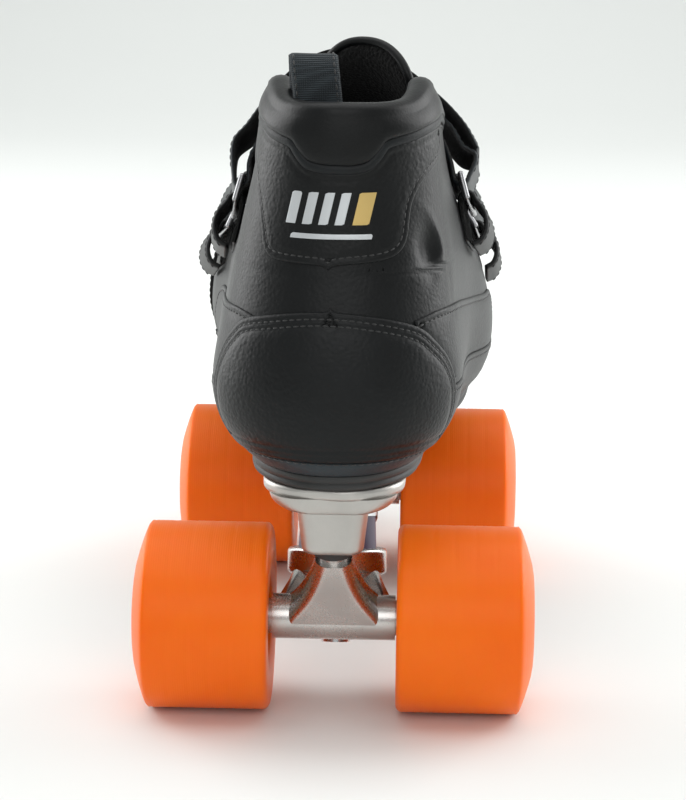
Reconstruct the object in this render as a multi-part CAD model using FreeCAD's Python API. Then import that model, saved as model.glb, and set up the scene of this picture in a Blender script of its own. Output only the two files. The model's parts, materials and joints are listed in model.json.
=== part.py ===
import FreeCAD, Part
import math
import os
from FreeCAD import Vector, Rotation, Placement

# One right-foot quad roller skate. Millimetres. +Y points to the toe, +X to the outer (lateral) side
# and +Z up. The origin is on the floor, under the middle of the boot's length, on the truck centre line.

# ---------------------------------------------------------------- driving sizes
BOOT_LENGTH = 282.0          # heel back to toe tip
BOOT_WIDTH = 104.0           # across the forefoot
BOOT_HEIGHT = 117.0          # outsole top to the back of the collar
HEEL_OVERHANG = 36.0         # heel back behind the rear axle
WHEELBASE = 160.0            # axle to axle
SOLE_BOTTOM_Z = 83.0         # plate top above the floor
OUTSOLE_THICKNESS = 5.0
WALL = 4.5                   # upper: leather, reinforcement and lining together
COLLAR_WALL = 7.5            # padded collar
SKIN = 1.4                   # an outer leather panel
SKIN_GAP = 0.05              # glue line under an outer panel
BOARD_THICKNESS = 2.5        # lasting board that the mounting bolts pull on
FOOTBED_THICKNESS = 3.0

WHEEL_DIAMETER = 62.0
WHEEL_WIDTH = 44.9
WHEEL_INNER_X = 20.8         # inner face of a wheel from the centre line
HUB_RADIUS = 14.5
HUB_INSET = 1.8              # hub face behind the tyre's inner face
HUB_LENGTH = 27.9

BEARING_OD = 22.0            # 608 size
BEARING_BORE = 8.0
BEARING_WIDTH = 7.0
BEARING_INSET = 3.2          # first bearing behind the wheel's inner face
BEARING_SPACING = 10.0       # free length between a wheel's two bearings
BALL_RADIUS = 1.98
BALL_COUNT = 7
GROOVE_GAP = 0.07            # ball to groove
SHIELD_THICKNESS = 0.35

AXLE_END = 9.0               # axle beyond the outer bearing
AXLE_NUT_AF = 13.0
AXLE_NUT_HEIGHT = 6.5

BARREL_RADIUS = 7.5
WHEEL_CLEARANCE = 0.5        # hanger barrel to wheel face
RING_RADIUS = 17.0           # hanger's cushion ring
RING_THICKNESS = 9.0
RING_BORE = 7.2
RING_U = 27.0                # ring centre, inboard of the axle
RING_W = 11.0                # ring centre, above the axle
PIVOT_U = -14.0              # pivot ball centre, outboard of the axle
PIVOT_W = 32.0
PIVOT_RADIUS = 5.2
PIVOT_GAP = 0.10
CUP_RADIUS = 7.5
CUP_DEPTH = 7.4              # cup's closed end above the ball's centre
CUP_MOUTH = 4.0              # cup's open end below it
KINGPIN_RADIUS = 5.0
KINGPIN_TILT = 15.0          # degrees from upright, top leaning inboard
CUSHION_RADIUS = 13.3
CUSHION_UPPER = 11.0
CUSHION_LOWER = 12.0
RETAINER_THICKNESS = 1.6
KINGPIN_NUT_AF = 17.0
KINGPIN_NUT_HEIGHT = 8.0

PLATE_THICKNESS = 4.0
PLATE_HEEL_HALF = 23.0
PLATE_WAIST_HALF = 16.0
PLATE_FRONT_HALF = 25.0
HOUSING_TOP_HALF = 11.4      # pivot housing, half width under the plate
HOUSING_BOTTOM_HALF = 9.8
HOUSING_DROP = 19.0          # housing bottom below the plate's underside
HOUSING_OUTBOARD = 13.0      # pivot ball's centre to the housing's outboard face
HOUSING_INBOARD = 11.2       # pivot ball's centre to its inboard face
BOLT_RADIUS = 2.5
BOLT_CLEARANCE = 0.15
BOLT_HEAD_RADIUS = 5.0
BOLT_HEAD_HEIGHT = 2.2
BOLT_NUT_AF = 8.0
BOLT_NUT_HEIGHT = 4.5

TOE_STOP_RADIUS = 21.0
TOE_STOP_HEIGHT = 19.0
TOE_STOP_TILT = 18.0         # degrees from upright, bottom leaning forward
TOE_STOP_AHEAD = 46.0        # boss centre ahead of the front axle
STEM_RADIUS = 7.9
STEM_GAP = 0.05
TOE_STOP_TRAVEL = 5.0        # screwed in or out from the middle
TOE_NUT_AF = 24.0
TOE_NUT_HEIGHT = 5.0

STRAP_THICKNESS = 2.0
STRAP_WIDTH = 30.0
STRAP_LAYER_GAP = 0.4
RING_WIRE_RADIUS = 1.1
RING_DROP = 8.0              # upper bar to lower bar of a strap ring
RING_STAND_OFF = 0.5         # strap to boot where it passes between them
STRAP_TAIL_REACH = 0.90      # how far round to the outer ring the tail comes
TAB_THICKNESS = 2.2
TONGUE_THICKNESS = 7.0
TONGUE_GAP = 0.4             # tongue to the shell and collar over it
TONGUE_RISE = 12.5           # tongue top above the back of the collar
LOOP_WIDTH = 15.0            # pull loop webbing
LOOP_THICKNESS = 1.6
LOOP_GAP = 2.5               # webbing to the collar's inner face, at the middle of the back

# ---------------------------------------------------------------- places that follow from the sizes
REAR_AXLE_Y = -BOOT_LENGTH / 2 + HEEL_OVERHANG
FRONT_AXLE_Y = REAR_AXLE_Y + WHEELBASE
AXLE_Z = WHEEL_DIAMETER / 2
UPPER_Z = SOLE_BOTTOM_Z + OUTSOLE_THICKNESS
COLLAR_Z = UPPER_Z + BOOT_HEIGHT
PLATE_UNDER_Z = SOLE_BOTTOM_Z - PLATE_THICKNESS
BEARING_X = (WHEEL_INNER_X + BEARING_INSET,
             WHEEL_INNER_X + BEARING_INSET + BEARING_WIDTH + BEARING_SPACING)
AXLE_HALF = BEARING_X[1] + BEARING_WIDTH + AXLE_END

# ---------------------------------------------------------------- the boot's last
# The last is a table of level outlines for a boot 282 long, 104 wide and 117 high. Each row holds
# the height above the outsole, how far the outline starts ahead of the heel back and ends ahead of
# it, the length over which its rear and front close, and its half widths at six stations on the
# outer and on the inner side. heights, starts, ends and stations scale with the boot's own sizes.
LAST_LENGTH, LAST_WIDTH, LAST_HEIGHT = 282.0, 104.0, 117.0
STATIONS = (36.0, 81.0, 126.0, 171.0, 216.0, 261.0)
LAST = (
    # height, start, end, rear, front, then outer half widths and inner half widths
    (0.0, 5.0, 278.0, 38, 58,
     (27.3, 32.0, 43.5, 48.0, 46.5, 41.0), (27.3, 29.0, 34.0, 42.0, 44.5, 39.0)),
    (4.0, 3.0, 280.0, 39, 60,
     (31.2, 35.0, 46.5, 50.8, 49.0, 43.5), (31.2, 32.5, 37.5, 45.0, 47.0, 42.0)),
    (9.0, 1.4, 281.5, 40, 62,
     (35.2, 38.5, 49.5, 53.0, 51.0, 45.5), (35.2, 36.0, 40.5, 47.6, 49.0, 44.0)),
    (16.0, 0.3, 282.0, 40, 64,
     (38.3, 41.3, 51.5, 54.4, 52.3, 47.0), (38.3, 39.2, 42.8, 49.2, 50.4, 45.5)),
    (25.0, 0.0, 281.5, 40, 67,
     (39.7, 42.8, 52.0, 54.2, 52.0, 47.0), (39.5, 40.8, 43.5, 49.0, 50.0, 45.5)),
    (33.0, 0.6, 279.0, 40, 71,
     (39.2, 43.2, 51.0, 52.8, 50.5, 46.0), (38.6, 40.6, 42.8, 47.6, 48.6, 44.5)),
    (40.0, 1.6, 273.5, 39, 76,
     (38.2, 43.2, 49.4, 50.8, 48.5, 45.0), (37.2, 39.8, 41.6, 45.8, 46.6, 43.5)),
    (46.0, 2.9, 263.0, 39, 82,
     (37.5, 42.9, 47.8, 48.6, 46.5, 44.0), (36.1, 38.9, 40.3, 43.9, 44.8, 42.5)),
    (51.0, 4.1, 246.0, 38, 88,
     (37.0, 42.5, 46.4, 46.6, 45.0, 43.0), (35.2, 38.1, 39.2, 42.2, 43.2, 41.5)),
    (56.0, 5.3, 226.0, 38, 94,
     (36.6, 42.0, 45.0, 44.6, 43.5, 42.0), (34.4, 37.3, 38.2, 40.4, 41.5, 40.5)),
    (64.0, 7.2, 198.0, 37, 96,
     (35.8, 40.6, 42.6, 41.8, 41.0, 40.0), (32.9, 35.0, 35.6, 37.2, 38.2, 37.8)),
    (76.0, 9.4, 169.0, 36, 84,
     (34.4, 37.4, 38.4, 37.6, 37.0, 37.0), (30.6, 32.0, 32.6, 33.2, 33.5, 33.0)),
    (89.0, 10.6, 145.0, 35, 70,
     (32.8, 34.8, 34.8, 34.0, 34.0, 34.0), (27.6, 28.9, 29.4, 29.6, 29.6, 29.6)),
    (101.0, 10.4, 127.0, 35, 60,
     (31.6, 33.2, 32.4, 32.0, 32.0, 32.0), (25.3, 27.0, 27.6, 27.8, 27.8, 27.8)),
    (112.0, 8.8, 113.5, 36, 52,
     (30.8, 32.0, 30.6, 30.0, 30.0, 30.0), (24.2, 26.0, 26.4, 26.4, 26.4, 26.4)),
    (123.0, 6.6, 104.0, 37, 47,
     (30.3, 31.2, 29.6, 29.0, 29.0, 29.0), (23.6, 26.0, 26.2, 26.0, 26.0, 26.0)),
    (136.0, 4.0, 97.0, 38, 44,
     (30.0, 31.0, 29.2, 28.6, 28.6, 28.6), (23.2, 25.6, 25.8, 25.6, 25.6, 25.6)),
)
TOE_SHIFT = -6.0             # toe tip from the centre line, towards the inner side
TOE_SHIFT_FROM = 100.0       # distance from the heel back where the toe starts to swing in
ROUNDNESS = 2.1              # power of the ellipse that closes an outline's ends
OUTLINE_POINTS = 56


def smooth(xs, ys, x):
    """Cubic Hermite interpolation with finite-difference slopes, held level past both ends."""
    if x <= xs[0]:
        return ys[0]
    if x >= xs[-1]:
        return ys[-1]
    last = len(xs) - 1
    i = max(k for k in range(last) if xs[k] <= x)

    def slope(k):
        a, b = max(k - 1, 0), min(k + 1, last)
        return (ys[b] - ys[a]) / (xs[b] - xs[a])

    h = xs[i + 1] - xs[i]
    t = (x - xs[i]) / h
    return ((1 + 2 * t) * (1 - t) ** 2 * ys[i] + t * (1 - t) ** 2 * h * slope(i)
            + t * t * (3 - 2 * t) * ys[i + 1] + t * t * (t - 1) * h * slope(i + 1))


def closing(u):
    """Quarter of a superellipse: 0 at the outline's end, 1 where the end has closed."""
    return 1.0 if u >= 1 else (1 - (1 - max(u, 0.0)) ** ROUNDNESS) ** (1 / ROUNDNESS)


LAST_HEIGHTS = [row[0] for row in LAST]


class Level:
    """The boot's outline at one height, moved in by an inset (out, if it is negative)."""

    def __init__(self, z, inset=0.0):
        height = (z - UPPER_Z) * LAST_HEIGHT / BOOT_HEIGHT
        self.z = z
        self.inset = inset
        self.long = BOOT_LENGTH / LAST_LENGTH
        self.wide = BOOT_WIDTH / LAST_WIDTH

        def column(pick):
            return smooth(LAST_HEIGHTS, [pick(row) for row in LAST], height)

        self.start = -BOOT_LENGTH / 2 + column(lambda r: r[1]) * self.long + inset
        self.end = -BOOT_LENGTH / 2 + column(lambda r: r[2]) * self.long - inset
        self.rear = max(column(lambda r: r[3]) * self.long - inset, 8.0)
        self.front = max(column(lambda r: r[4]) * self.long - inset, 8.0)
        self.outer = [column(lambda r, k=k: r[5][k]) for k in range(6)]
        self.inner = [column(lambda r, k=k: r[6][k]) for k in range(6)]

    def middle(self, y):
        """X of the line that the two sides are measured from."""
        reach = (y + BOOT_LENGTH / 2) / self.long - TOE_SHIFT_FROM
        full = LAST_LENGTH - TOE_SHIFT_FROM
        t = min(max(reach / full, 0.0), 1.0)
        return TOE_SHIFT * self.wide * t * t * (3 - 2 * t)

    def half(self, y, side):
        """Half width at y on the outer (side 1) or inner (side -1) side, or 0 past the ends."""
        if y <= self.start or y >= self.end:
            return 0.0
        table = self.outer if side > 0 else self.inner
        width = smooth(STATIONS, table, (y + BOOT_LENGTH / 2) / self.long) * self.wide
        return ((width - self.inset) * closing((y - self.start) / self.rear)
                * closing((self.end - y) / self.front))

    def points(self, count=OUTLINE_POINTS):
        found = []
        for i in range(count):
            angle = 2 * math.pi * i / count
            y = self.start + (self.end - self.start) * (1 - math.cos(angle)) / 2
            side = 1 if angle < math.pi else -1
            found.append(Vector(self.middle(y) + side * self.half(y, side), y, self.z))
        return found

    def wire(self):
        curve = Part.BSplineCurve()
        curve.interpolate(Points=self.points(), PeriodicFlag=True)
        return Part.Wire([curve.toShape()])


def last_body(inset, low, high):
    """The last as a solid from one height to another, moved in by an inset."""
    scale = BOOT_HEIGHT / LAST_HEIGHT
    inside = [UPPER_Z + h * scale for h in LAST_HEIGHTS if low + 1 < UPPER_Z + h * scale < high - 1]
    wires = [Level(z, inset).wire() for z in [low] + inside + [high]]
    return Part.makeLoft(wires, True, False)


def slab(z_outline, inset, low, high):
    """A flat slab with the boot's outline at one height."""
    face = Part.Face(Level(z_outline, inset).wire())
    face.translate(Vector(0, 0, low - z_outline))
    return face.extrude(Vector(0, 0, high - low))


def prism(points, direction):
    """A prism on a closed polygon."""
    return Part.Face(Part.makePolygon(points + [points[0]])).extrude(direction)


def side_prism(outline):
    """A prism through the whole boot on a side-view outline, whose points are (y, z)."""
    points = [Vector(-200, y, z) for y, z in outline]
    return prism(points, Vector(400, 0, 0))


def along_heel(distance):
    """Y at a distance ahead of the heel back on the base last."""
    return -BOOT_LENGTH / 2 + distance * BOOT_LENGTH / LAST_LENGTH


def above_sole(height):
    """Z at a height above the outsole on the base last."""
    return UPPER_Z + height * BOOT_HEIGHT / LAST_HEIGHT


def across(x):
    """X at a place across the base last."""
    return x * BOOT_WIDTH / LAST_WIDTH


def biggest(shape):
    """The largest solid of a boolean's result."""
    return max(shape.Solids, key=lambda s: s.Volume)


# ---------------------------------------------------------------- the boot's lines
# Each point is (distance ahead of the heel back, height above the outsole) on the base last.
COLLAR_LINE = ((-10, 116.4), (6, 116.6), (14, 116.2), (24, 116.6), (34, 118.6), (44, 120.6), (50, 120.8),
               (57, 118.6), (70, 113.0), (90, 106.0), (112, 99.5), (126, 93.0), (150, 76.0), (320, 76.0))
SEAM_LINE = ((-10, 98.0), (8.5, 98.4), (11.5, 99.4), (15, 102.4), (20, 105.4), (30, 107.6), (48, 109.2),
             (66, 107.0), (84, 101.0), (104, 93.0), (118, 86.0), (320, 86.0))
COUNTER_LINE = ((-10, 53.2), (4, 52.6), (7, 50.8), (11, 48.4), (16, 45.0), (21, 40.0), (26.5, 34.0), (30.5, 26.0),
                (31.0, 14.0), (30.0, 5.6), (-10, 5.6))
TOE_CAP_LINE = ((300, 5.6), (203, 5.6), (207, 24.0), (214, 40.0), (222, 56.0), (228, 72.0), (300, 72.0))
# Across the back: (x, height above the outsole).
BACK_PANEL = ((-23.2, 74.0), (-21.4, 68.6), (-15.5, 66.9), (0.0, 66.4), (14.0, 67.6), (19.6, 69.4),
              (22.3, 74.0), (22.6, 81.3), (23.4, 86.0), (26.0, 91.5), (32.0, 96.5), (34.0, 104.6), (20.0, 102.6),
              (14.0, 100.0), (9.0, 98.0), (0.0, 97.2), (-9.0, 98.0), (-14.0, 100.0), (-20.0, 101.6),
              (-30.0, 102.6), (-25.4, 92.4), (-24.0, 84.0))
BACK_PANEL_DEPTH = 34.0      # how far forward the back panel's solid may reach
THROAT_HALF = 17.0           # half width of the slot over the instep
THROAT_MIDDLE = 3.0
THROAT_END = 196.0           # slot's toe end, ahead of the heel back


def boot_points(line):
    return [(along_heel(a), above_sole(h)) for a, h in line]


def above_line(line, top=400.0, drop=0.0):
    """Everything above a side-view line, or above the same line a little lower."""
    points = [(y, z - drop) for y, z in boot_points(line)]
    return side_prism(points + [(points[-1][0], top), (points[0][0], top)])


def throat_cutter(half, end):
    """A slot with a round toe end, open above the foot's height at the toe end of the throat."""
    low, middle = above_sole(30), across(THROAT_MIDDLE)
    y0, y1 = along_heel(58), along_heel(end) - half
    slot = Part.makeBox(2 * half, y1 - y0, 200, Vector(middle - half, y0, low))
    return slot.fuse(Part.makeCylinder(half, 200, Vector(middle, y1, low)))


def make_boot(add):
    """The sewn boot: sole, boards, shell, outer panels, collar, tongue and pull loop."""
    top = COLLAR_Z + 24
    shell_top = COLLAR_Z + 10
    outer = last_body(0.0, UPPER_Z, shell_top)
    cavity = last_body(WALL, UPPER_Z - 0.01, shell_top + 0.01)
    collar_cavity = last_body(COLLAR_WALL, UPPER_Z + 40, shell_top + 0.01)
    above_collar = above_line(COLLAR_LINE)
    above_seam = above_line(SEAM_LINE)
    throat = throat_cutter(across(THROAT_HALF), THROAT_END)

    shell = biggest(outer.cut(cavity).cut(above_seam).cut(throat))
    collar = biggest(outer.cut(collar_cavity).common(above_seam).cut(above_collar).cut(throat))
    add("upper_shell", shell)
    add("collar_pad", collar)

    skin = last_body(-SKIN, UPPER_Z + 0.2, shell_top).cut(last_body(-SKIN_GAP, UPPER_Z, shell_top + 1))
    add("heel_counter", biggest(skin.common(side_prism(boot_points(COUNTER_LINE)))))
    add("toe_cap", biggest(skin.common(side_prism(boot_points(TOE_CAP_LINE)))))
    panel_points = [Vector(across(x), -BOOT_LENGTH / 2 - 20, above_sole(h)) for x, h in BACK_PANEL]
    panel = prism(panel_points, Vector(0, 20 + BACK_PANEL_DEPTH, 0))
    add("back_panel", biggest(skin.common(panel)))
    rand_top = UPPER_Z + 5.2
    rand = last_body(-0.9, UPPER_Z, rand_top).cut(last_body(-SKIN_GAP, UPPER_Z - 0.1, rand_top + 0.1))
    add("rand", biggest(rand))

    holes = bolt_shanks(BOLT_RADIUS + BOLT_CLEARANCE, SOLE_BOTTOM_Z - 20, 60)
    add("outsole", slab(UPPER_Z, 0.5, SOLE_BOTTOM_Z, UPPER_Z).cut(holes))
    board = slab(UPPER_Z, WALL + 0.1, UPPER_Z, UPPER_Z + BOARD_THICKNESS)
    add("lasting_board", board.cut(holes))
    bed_low = UPPER_Z + BOARD_THICKNESS + BOLT_HEAD_HEIGHT + 0.1
    add("footbed", slab(UPPER_Z + 2, WALL + 0.4, bed_low, bed_low + FOOTBED_THICKNESS))

    tongue = last_body(WALL + TONGUE_GAP, above_sole(58), top).cut(
        last_body(WALL + TONGUE_GAP + TONGUE_THICKNESS, above_sole(58) - 0.01, top + 0.01))
    near_collar = outer.cut(last_body(COLLAR_WALL + TONGUE_GAP, UPPER_Z + 40, shell_top + 0.01))
    near_collar = near_collar.common(above_line(SEAM_LINE, drop=TONGUE_GAP))
    near_collar = near_collar.cut(throat_cutter(across(THROAT_HALF) - TONGUE_GAP, THROAT_END))
    add("tongue", biggest(tongue.common(tongue_outline()).cut(near_collar)))
    add("pull_loop", biggest(pull_loop().cut(collar).cut(shell)))


TONGUE_MIDDLE = 5.0
TONGUE_HALF = 23.0


def tongue_outline():
    """The tongue's front view: straight sides and a round top, ahead of the ankle."""
    top = COLLAR_Z + TONGUE_RISE
    middle, half = across(TONGUE_MIDDLE), across(TONGUE_HALF)
    rise = half * 0.85
    points = [Vector(middle + half, 0, above_sole(40)), Vector(middle + half, 0, top - rise)]
    steps = 12
    for i in range(1, steps):
        angle = math.pi * i / steps
        points.append(Vector(middle + half * math.cos(angle), 0, top - rise + rise * math.sin(angle)))
    points += [Vector(middle - half, 0, top - rise), Vector(middle - half, 0, above_sole(40))]
    y0 = along_heel(72)
    front = prism([p + Vector(0, y0, 0) for p in points], Vector(0, along_heel(188) - y0, 0))
    return front


def ribbon(points, normal_side, thickness, sweep):
    """A band: a smooth path in one plane, thickened to one side and swept straight across its width."""
    across_path = []
    for i, p in enumerate(points):
        a, b = points[max(i - 1, 0)], points[min(i + 1, len(points) - 1)]
        along = (b - a).normalize()
        across_path.append(p + along.cross(sweep).normalize() * thickness * normal_side)
    edges = []
    for line in (points, across_path):
        curve = Part.BSplineCurve()
        curve.interpolate(Points=line)
        edges.append(curve.toShape())
    ends = [Part.LineSegment(points[0], across_path[0]).toShape(),
            Part.LineSegment(points[-1], across_path[-1]).toShape()]
    wire = Part.Wire(Part.__sortEdges__([edges[0], ends[1], edges[1], ends[0]]))
    return Part.Face(wire).extrude(sweep)


def pull_loop():
    """Webbing folded over and sewn inside the back of the collar."""
    y0 = along_heel(10.6) + COLLAR_WALL + LOOP_THICKNESS + LOOP_GAP
    z0 = above_sole(92)
    rise, spread = 35.0, 13.0
    path = [Vector(0, y0, z0), Vector(0, y0 + 0.4, z0 + rise * 0.45), Vector(0, y0 + 1.4, z0 + rise * 0.78),
            Vector(0, y0 + spread * 0.3, z0 + rise * 0.96), Vector(0, y0 + spread * 0.62, z0 + rise * 0.98),
            Vector(0, y0 + spread * 0.92, z0 + rise * 0.82), Vector(0, y0 + spread * 0.92, z0 + rise * 0.55),
            Vector(0, y0 + spread * 0.62, z0 + rise * 0.3), Vector(0, y0 + spread * 0.4, z0 + rise * 0.12)]
    band = ribbon(path, 1, LOOP_THICKNESS, Vector(LOOP_WIDTH, 0, 0))
    band.translate(Vector(across(-6.0) - LOOP_WIDTH / 2, 0, 0))
    return band


# ---------------------------------------------------------------- straps
class StrapPlane:
    """The tilted plane of a strap's rear edge. The strap is swept from it along the instep."""

    def __init__(self, ahead, height, slope):
        self.origin = Vector(0, along_heel(ahead), above_sole(height))
        self.sweep = Vector(0, math.cos(math.radians(slope)), -math.sin(math.radians(slope)))
        self.up = Vector(0, math.sin(math.radians(slope)), math.cos(math.radians(slope)))

    def point(self, x, n, e=0.0):
        return self.origin + Vector(x, 0, 0) + self.up * n + self.sweep * e

    def reach(self, angle, e):
        """Distance from the plane's origin to the boot's surface, in the direction of an angle."""
        low, high = 0.0, 90.0
        for _ in range(22):
            r = (low + high) / 2
            p = self.point(r * math.sin(angle), r * math.cos(angle), e)
            side = 1 if p.x >= 0 else -1
            level = Level(p.z)
            if side * (p.x - level.middle(p.y)) < level.half(p.y, side):
                low = r
            else:
                high = r
        return low

    def over(self, angle, clear, e):
        """A point at a clear distance from the boot's surface, at a place across the strap's width."""
        r = self.reach(angle, e) + clear
        return self.point(r * math.sin(angle), r * math.cos(angle), e)

    def round_bar(self, bar, radius, degrees):
        """A point at an angle round a ring's bar, counted from +X towards up."""
        a = math.radians(degrees)
        return bar + Vector(1, 0, 0) * radius * math.cos(a) + self.up * radius * math.sin(a)

    def arc(self, bar, radius, start, stop):
        turns = (start, (start + stop) / 2, stop)
        return Part.Arc(*[self.round_bar(bar, radius, a) for a in turns]).toShape()

    def tangent(self, degrees, turning):
        a = math.radians(degrees)
        return (Vector(1, 0, 0) * -math.sin(a) + self.up * math.cos(a)) * turning

    def pushed_out(self, points, distance):
        """The same path, further from the boot."""
        made = []
        for i, p in enumerate(points):
            along = (points[min(i + 1, len(points) - 1)] - points[max(i - 1, 0)]).normalize()
            normal = along.cross(self.sweep).normalize()
            if normal.dot(p - self.origin) < 0:
                normal = normal * -1
            made.append(p + normal * distance)
        return made


def curve_through(points, start_tangent, end_tangent):
    """A smooth curve with a given direction at both ends."""
    curve = Part.BSplineCurve()
    curve.interpolate(Points=points, InitialTangent=start_tangent, FinalTangent=end_tangent)
    return curve.toShape()


def between(outlines):
    """A band between its rear and its front outline."""
    wires = [Part.Wire(Part.__sortEdges__(edges)) for edges in outlines]
    return Part.makeLoft(wires, True, True)


BAR_GAP = 0.4                # strap to the bar it turns round
BAR_TURN = RING_WIRE_RADIUS + BAR_GAP
BAR_FAR = BAR_TURN + STRAP_THICKNESS


def ring_bars(plane, right, left, e):
    """The centres of the two rings' upper bars."""
    return [plane.over(angle, BAR_FAR + RING_STAND_OFF, e) for angle in (right, left)]


def strap_outline(plane, right, left, e):
    """The strap from its fold round the outer ring to its turn at the inner ring."""
    bar_right, bar_left = ring_bars(plane, right, left, e)
    path = []
    for i in range(11):
        t = i / 10
        lift = 1.5 + 1.0 * abs(2 * t - 1) ** 3
        path.append(plane.over(0.84 * (right + (left - right) * t), lift, e))
    fold_start, fold_end, meet, stop = -205, 15, 20, -35
    edges = []
    for near_right, near_left, push in ((BAR_TURN, BAR_FAR, 0.0), (BAR_FAR, BAR_TURN, STRAP_THICKNESS)):
        body = plane.pushed_out(path, push) if push else path
        middle = [plane.round_bar(bar_right, near_right, fold_end)] + body[1:-1]
        middle.append(plane.round_bar(bar_left, near_left, meet))
        edges.append(plane.arc(bar_right, near_right, fold_start, fold_end))
        edges.append(curve_through(middle, plane.tangent(fold_end, 1), plane.tangent(meet, -1)))
        edges.append(plane.arc(bar_left, near_left, meet, stop))
    for bar, angle in ((bar_right, fold_start), (bar_left, stop)):
        tips = [plane.round_bar(bar, radius, angle) for radius in (BAR_TURN, BAR_FAR)]
        edges.append(Part.LineSegment(*tips).toShape())
    return edges


def tail_outline(plane, right, left, e):
    """The strap's tail, from the inner ring back over the strap."""
    bar_left = ring_bars(plane, right, left, e)[1]
    path = []
    for i in range(11):
        t = i / 10
        lift = 2.75 + STRAP_THICKNESS + STRAP_LAYER_GAP + 5.2 * abs(2 * t - 1) ** 2.4
        path.append(plane.over(0.82 * left + (STRAP_TAIL_REACH * right - 0.82 * left) * t, lift, e))
    root, leave = -105, -172
    edges, tips = [], []
    for radius, push in ((BAR_TURN, 0.0), (BAR_FAR, STRAP_THICKNESS)):
        body = plane.pushed_out(path, push) if push else path
        middle = [plane.round_bar(bar_left, radius, leave)] + body[1:]
        flat = (path[-1] - path[-2]).normalize()
        edges.append(plane.arc(bar_left, radius, root, leave))
        edges.append(curve_through(middle, plane.tangent(leave, -1), flat))
        tips.append((plane.round_bar(bar_left, radius, root), middle[-1]))
    for k in (0, 1):
        edges.append(Part.LineSegment(tips[0][k], tips[1][k]).toShape())
    return edges


def wire_ring(corners):
    """A rectangular wire ring through four corners."""
    bars = []
    for p, q in zip(corners, corners[1:] + corners[:1]):
        bars.append(Part.makeCylinder(RING_WIRE_RADIUS, (q - p).Length, p, q - p))
    balls = [Part.makeSphere(RING_WIRE_RADIUS, p) for p in corners]
    return bars[0].multiFuse(bars[1:] + balls).removeSplitter()


def tab_outline(plane, lower, side, angle, e):
    """A leather tab folded round a ring's lower bar, with both ends sewn to the boot."""
    turn = RING_WIRE_RADIUS + 0.3
    foot = plane.over(angle, TAB_THICKNESS + 0.6, e)
    down = (foot - lower).normalize()
    out = down.cross(plane.sweep).normalize()
    if out.dot(Vector(side, 0, 0)) < 0:
        out = out * -1
    legs = {1: 13.5, -1: 14.5}
    edges = []
    for radius in (turn, turn + TAB_THICKNESS):
        shoulder = {k: lower + out * radius * k for k in (1, -1)}
        edges.append(Part.Arc(shoulder[-1], lower - down * radius, shoulder[1]).toShape())
        for k in (1, -1):
            edges.append(Part.LineSegment(shoulder[k], shoulder[k] + down * legs[k]).toShape())
    for k in (1, -1):
        tip = lower + down * legs[k]
        near, far = tip + out * turn * k, tip + out * (turn + TAB_THICKNESS) * k
        edges.append(Part.LineSegment(near, far).toShape())
    return edges


def strap_set(plane, right, left):
    """A strap and its tail, with both rings and both tabs."""
    ends = (0.0, STRAP_WIDTH)
    strap = between([strap_outline(plane, right, left, e) for e in ends])
    tail = between([tail_outline(plane, right, left, e) for e in ends])
    rings, tabs = [], []
    for k, side, angle in ((0, 1, right), (1, -1, left)):
        uppers = [ring_bars(plane, right, left, e)[k] for e in ends]
        length = (uppers[1] - uppers[0]).normalize()
        lowers = []
        for upper, e in zip(uppers, ends):
            below = plane.over(angle + side * 0.25, BAR_FAR + RING_STAND_OFF, e)
            lowers.append(upper + (below - upper).normalize() * RING_DROP)
        over = length * 2.2
        rings.append(wire_ring([uppers[0] - over, uppers[1] + over, lowers[1] + over, lowers[0] - over]))
        inset = length * 2.0
        feet = [tab_outline(plane, lower + shift, side, angle + side * 0.72, e)
                for lower, shift, e in zip(lowers, (inset, inset * -1), (2.0, STRAP_WIDTH - 2.0))]
        tabs.append(between(feet))
    return strap, tail, rings, tabs, [ring_bars(plane, right, left, e)[1] for e in ends]


def make_straps(add):
    ankle = StrapPlane(84.0, 62.0, 22.0)
    front = StrapPlane(140.0, 24.0, 30.0)
    keep_off = last_body(-SKIN_GAP, UPPER_Z + 20, COLLAR_Z)
    rings, tabs = [], []
    for name, plane, right, left in (("ankle", ankle, 1.06, -1.04), ("forefoot", front, 0.80, -0.80)):
        strap, tail, own_rings, own_tabs, bar = strap_set(plane, right, left)
        add(name + "_strap", biggest(strap.cut(keep_off)))
        add(name + "_strap_tail", tail)
        rings += own_rings
        tabs += [biggest(tab.cut(keep_off)) for tab in own_tabs]
        print(name, "tail hinge", [round(v, 3) for v in bar[0]], [round(v, 3) for v in bar[1]])
    add("strap_rings", Part.makeCompound(rings))
    add("strap_tabs", Part.makeCompound(tabs))


# ---------------------------------------------------------------- mounting bolts and plate
def bolt_places():
    rear = [(17.0, REAR_AXLE_Y + 6.0), (9.8, REAR_AXLE_Y + 58.0)]
    front = [(9.8, FRONT_AXLE_Y - 58.0), (17.0, FRONT_AXLE_Y - 6.0)]
    return [(side * x, y) for x, y in rear + front for side in (1, -1)]


def bolt_shanks(radius, low, height):
    shanks = [Part.makeCylinder(radius, height, Vector(x, y, low)) for x, y in bolt_places()]
    return Part.makeCompound(shanks)


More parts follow.
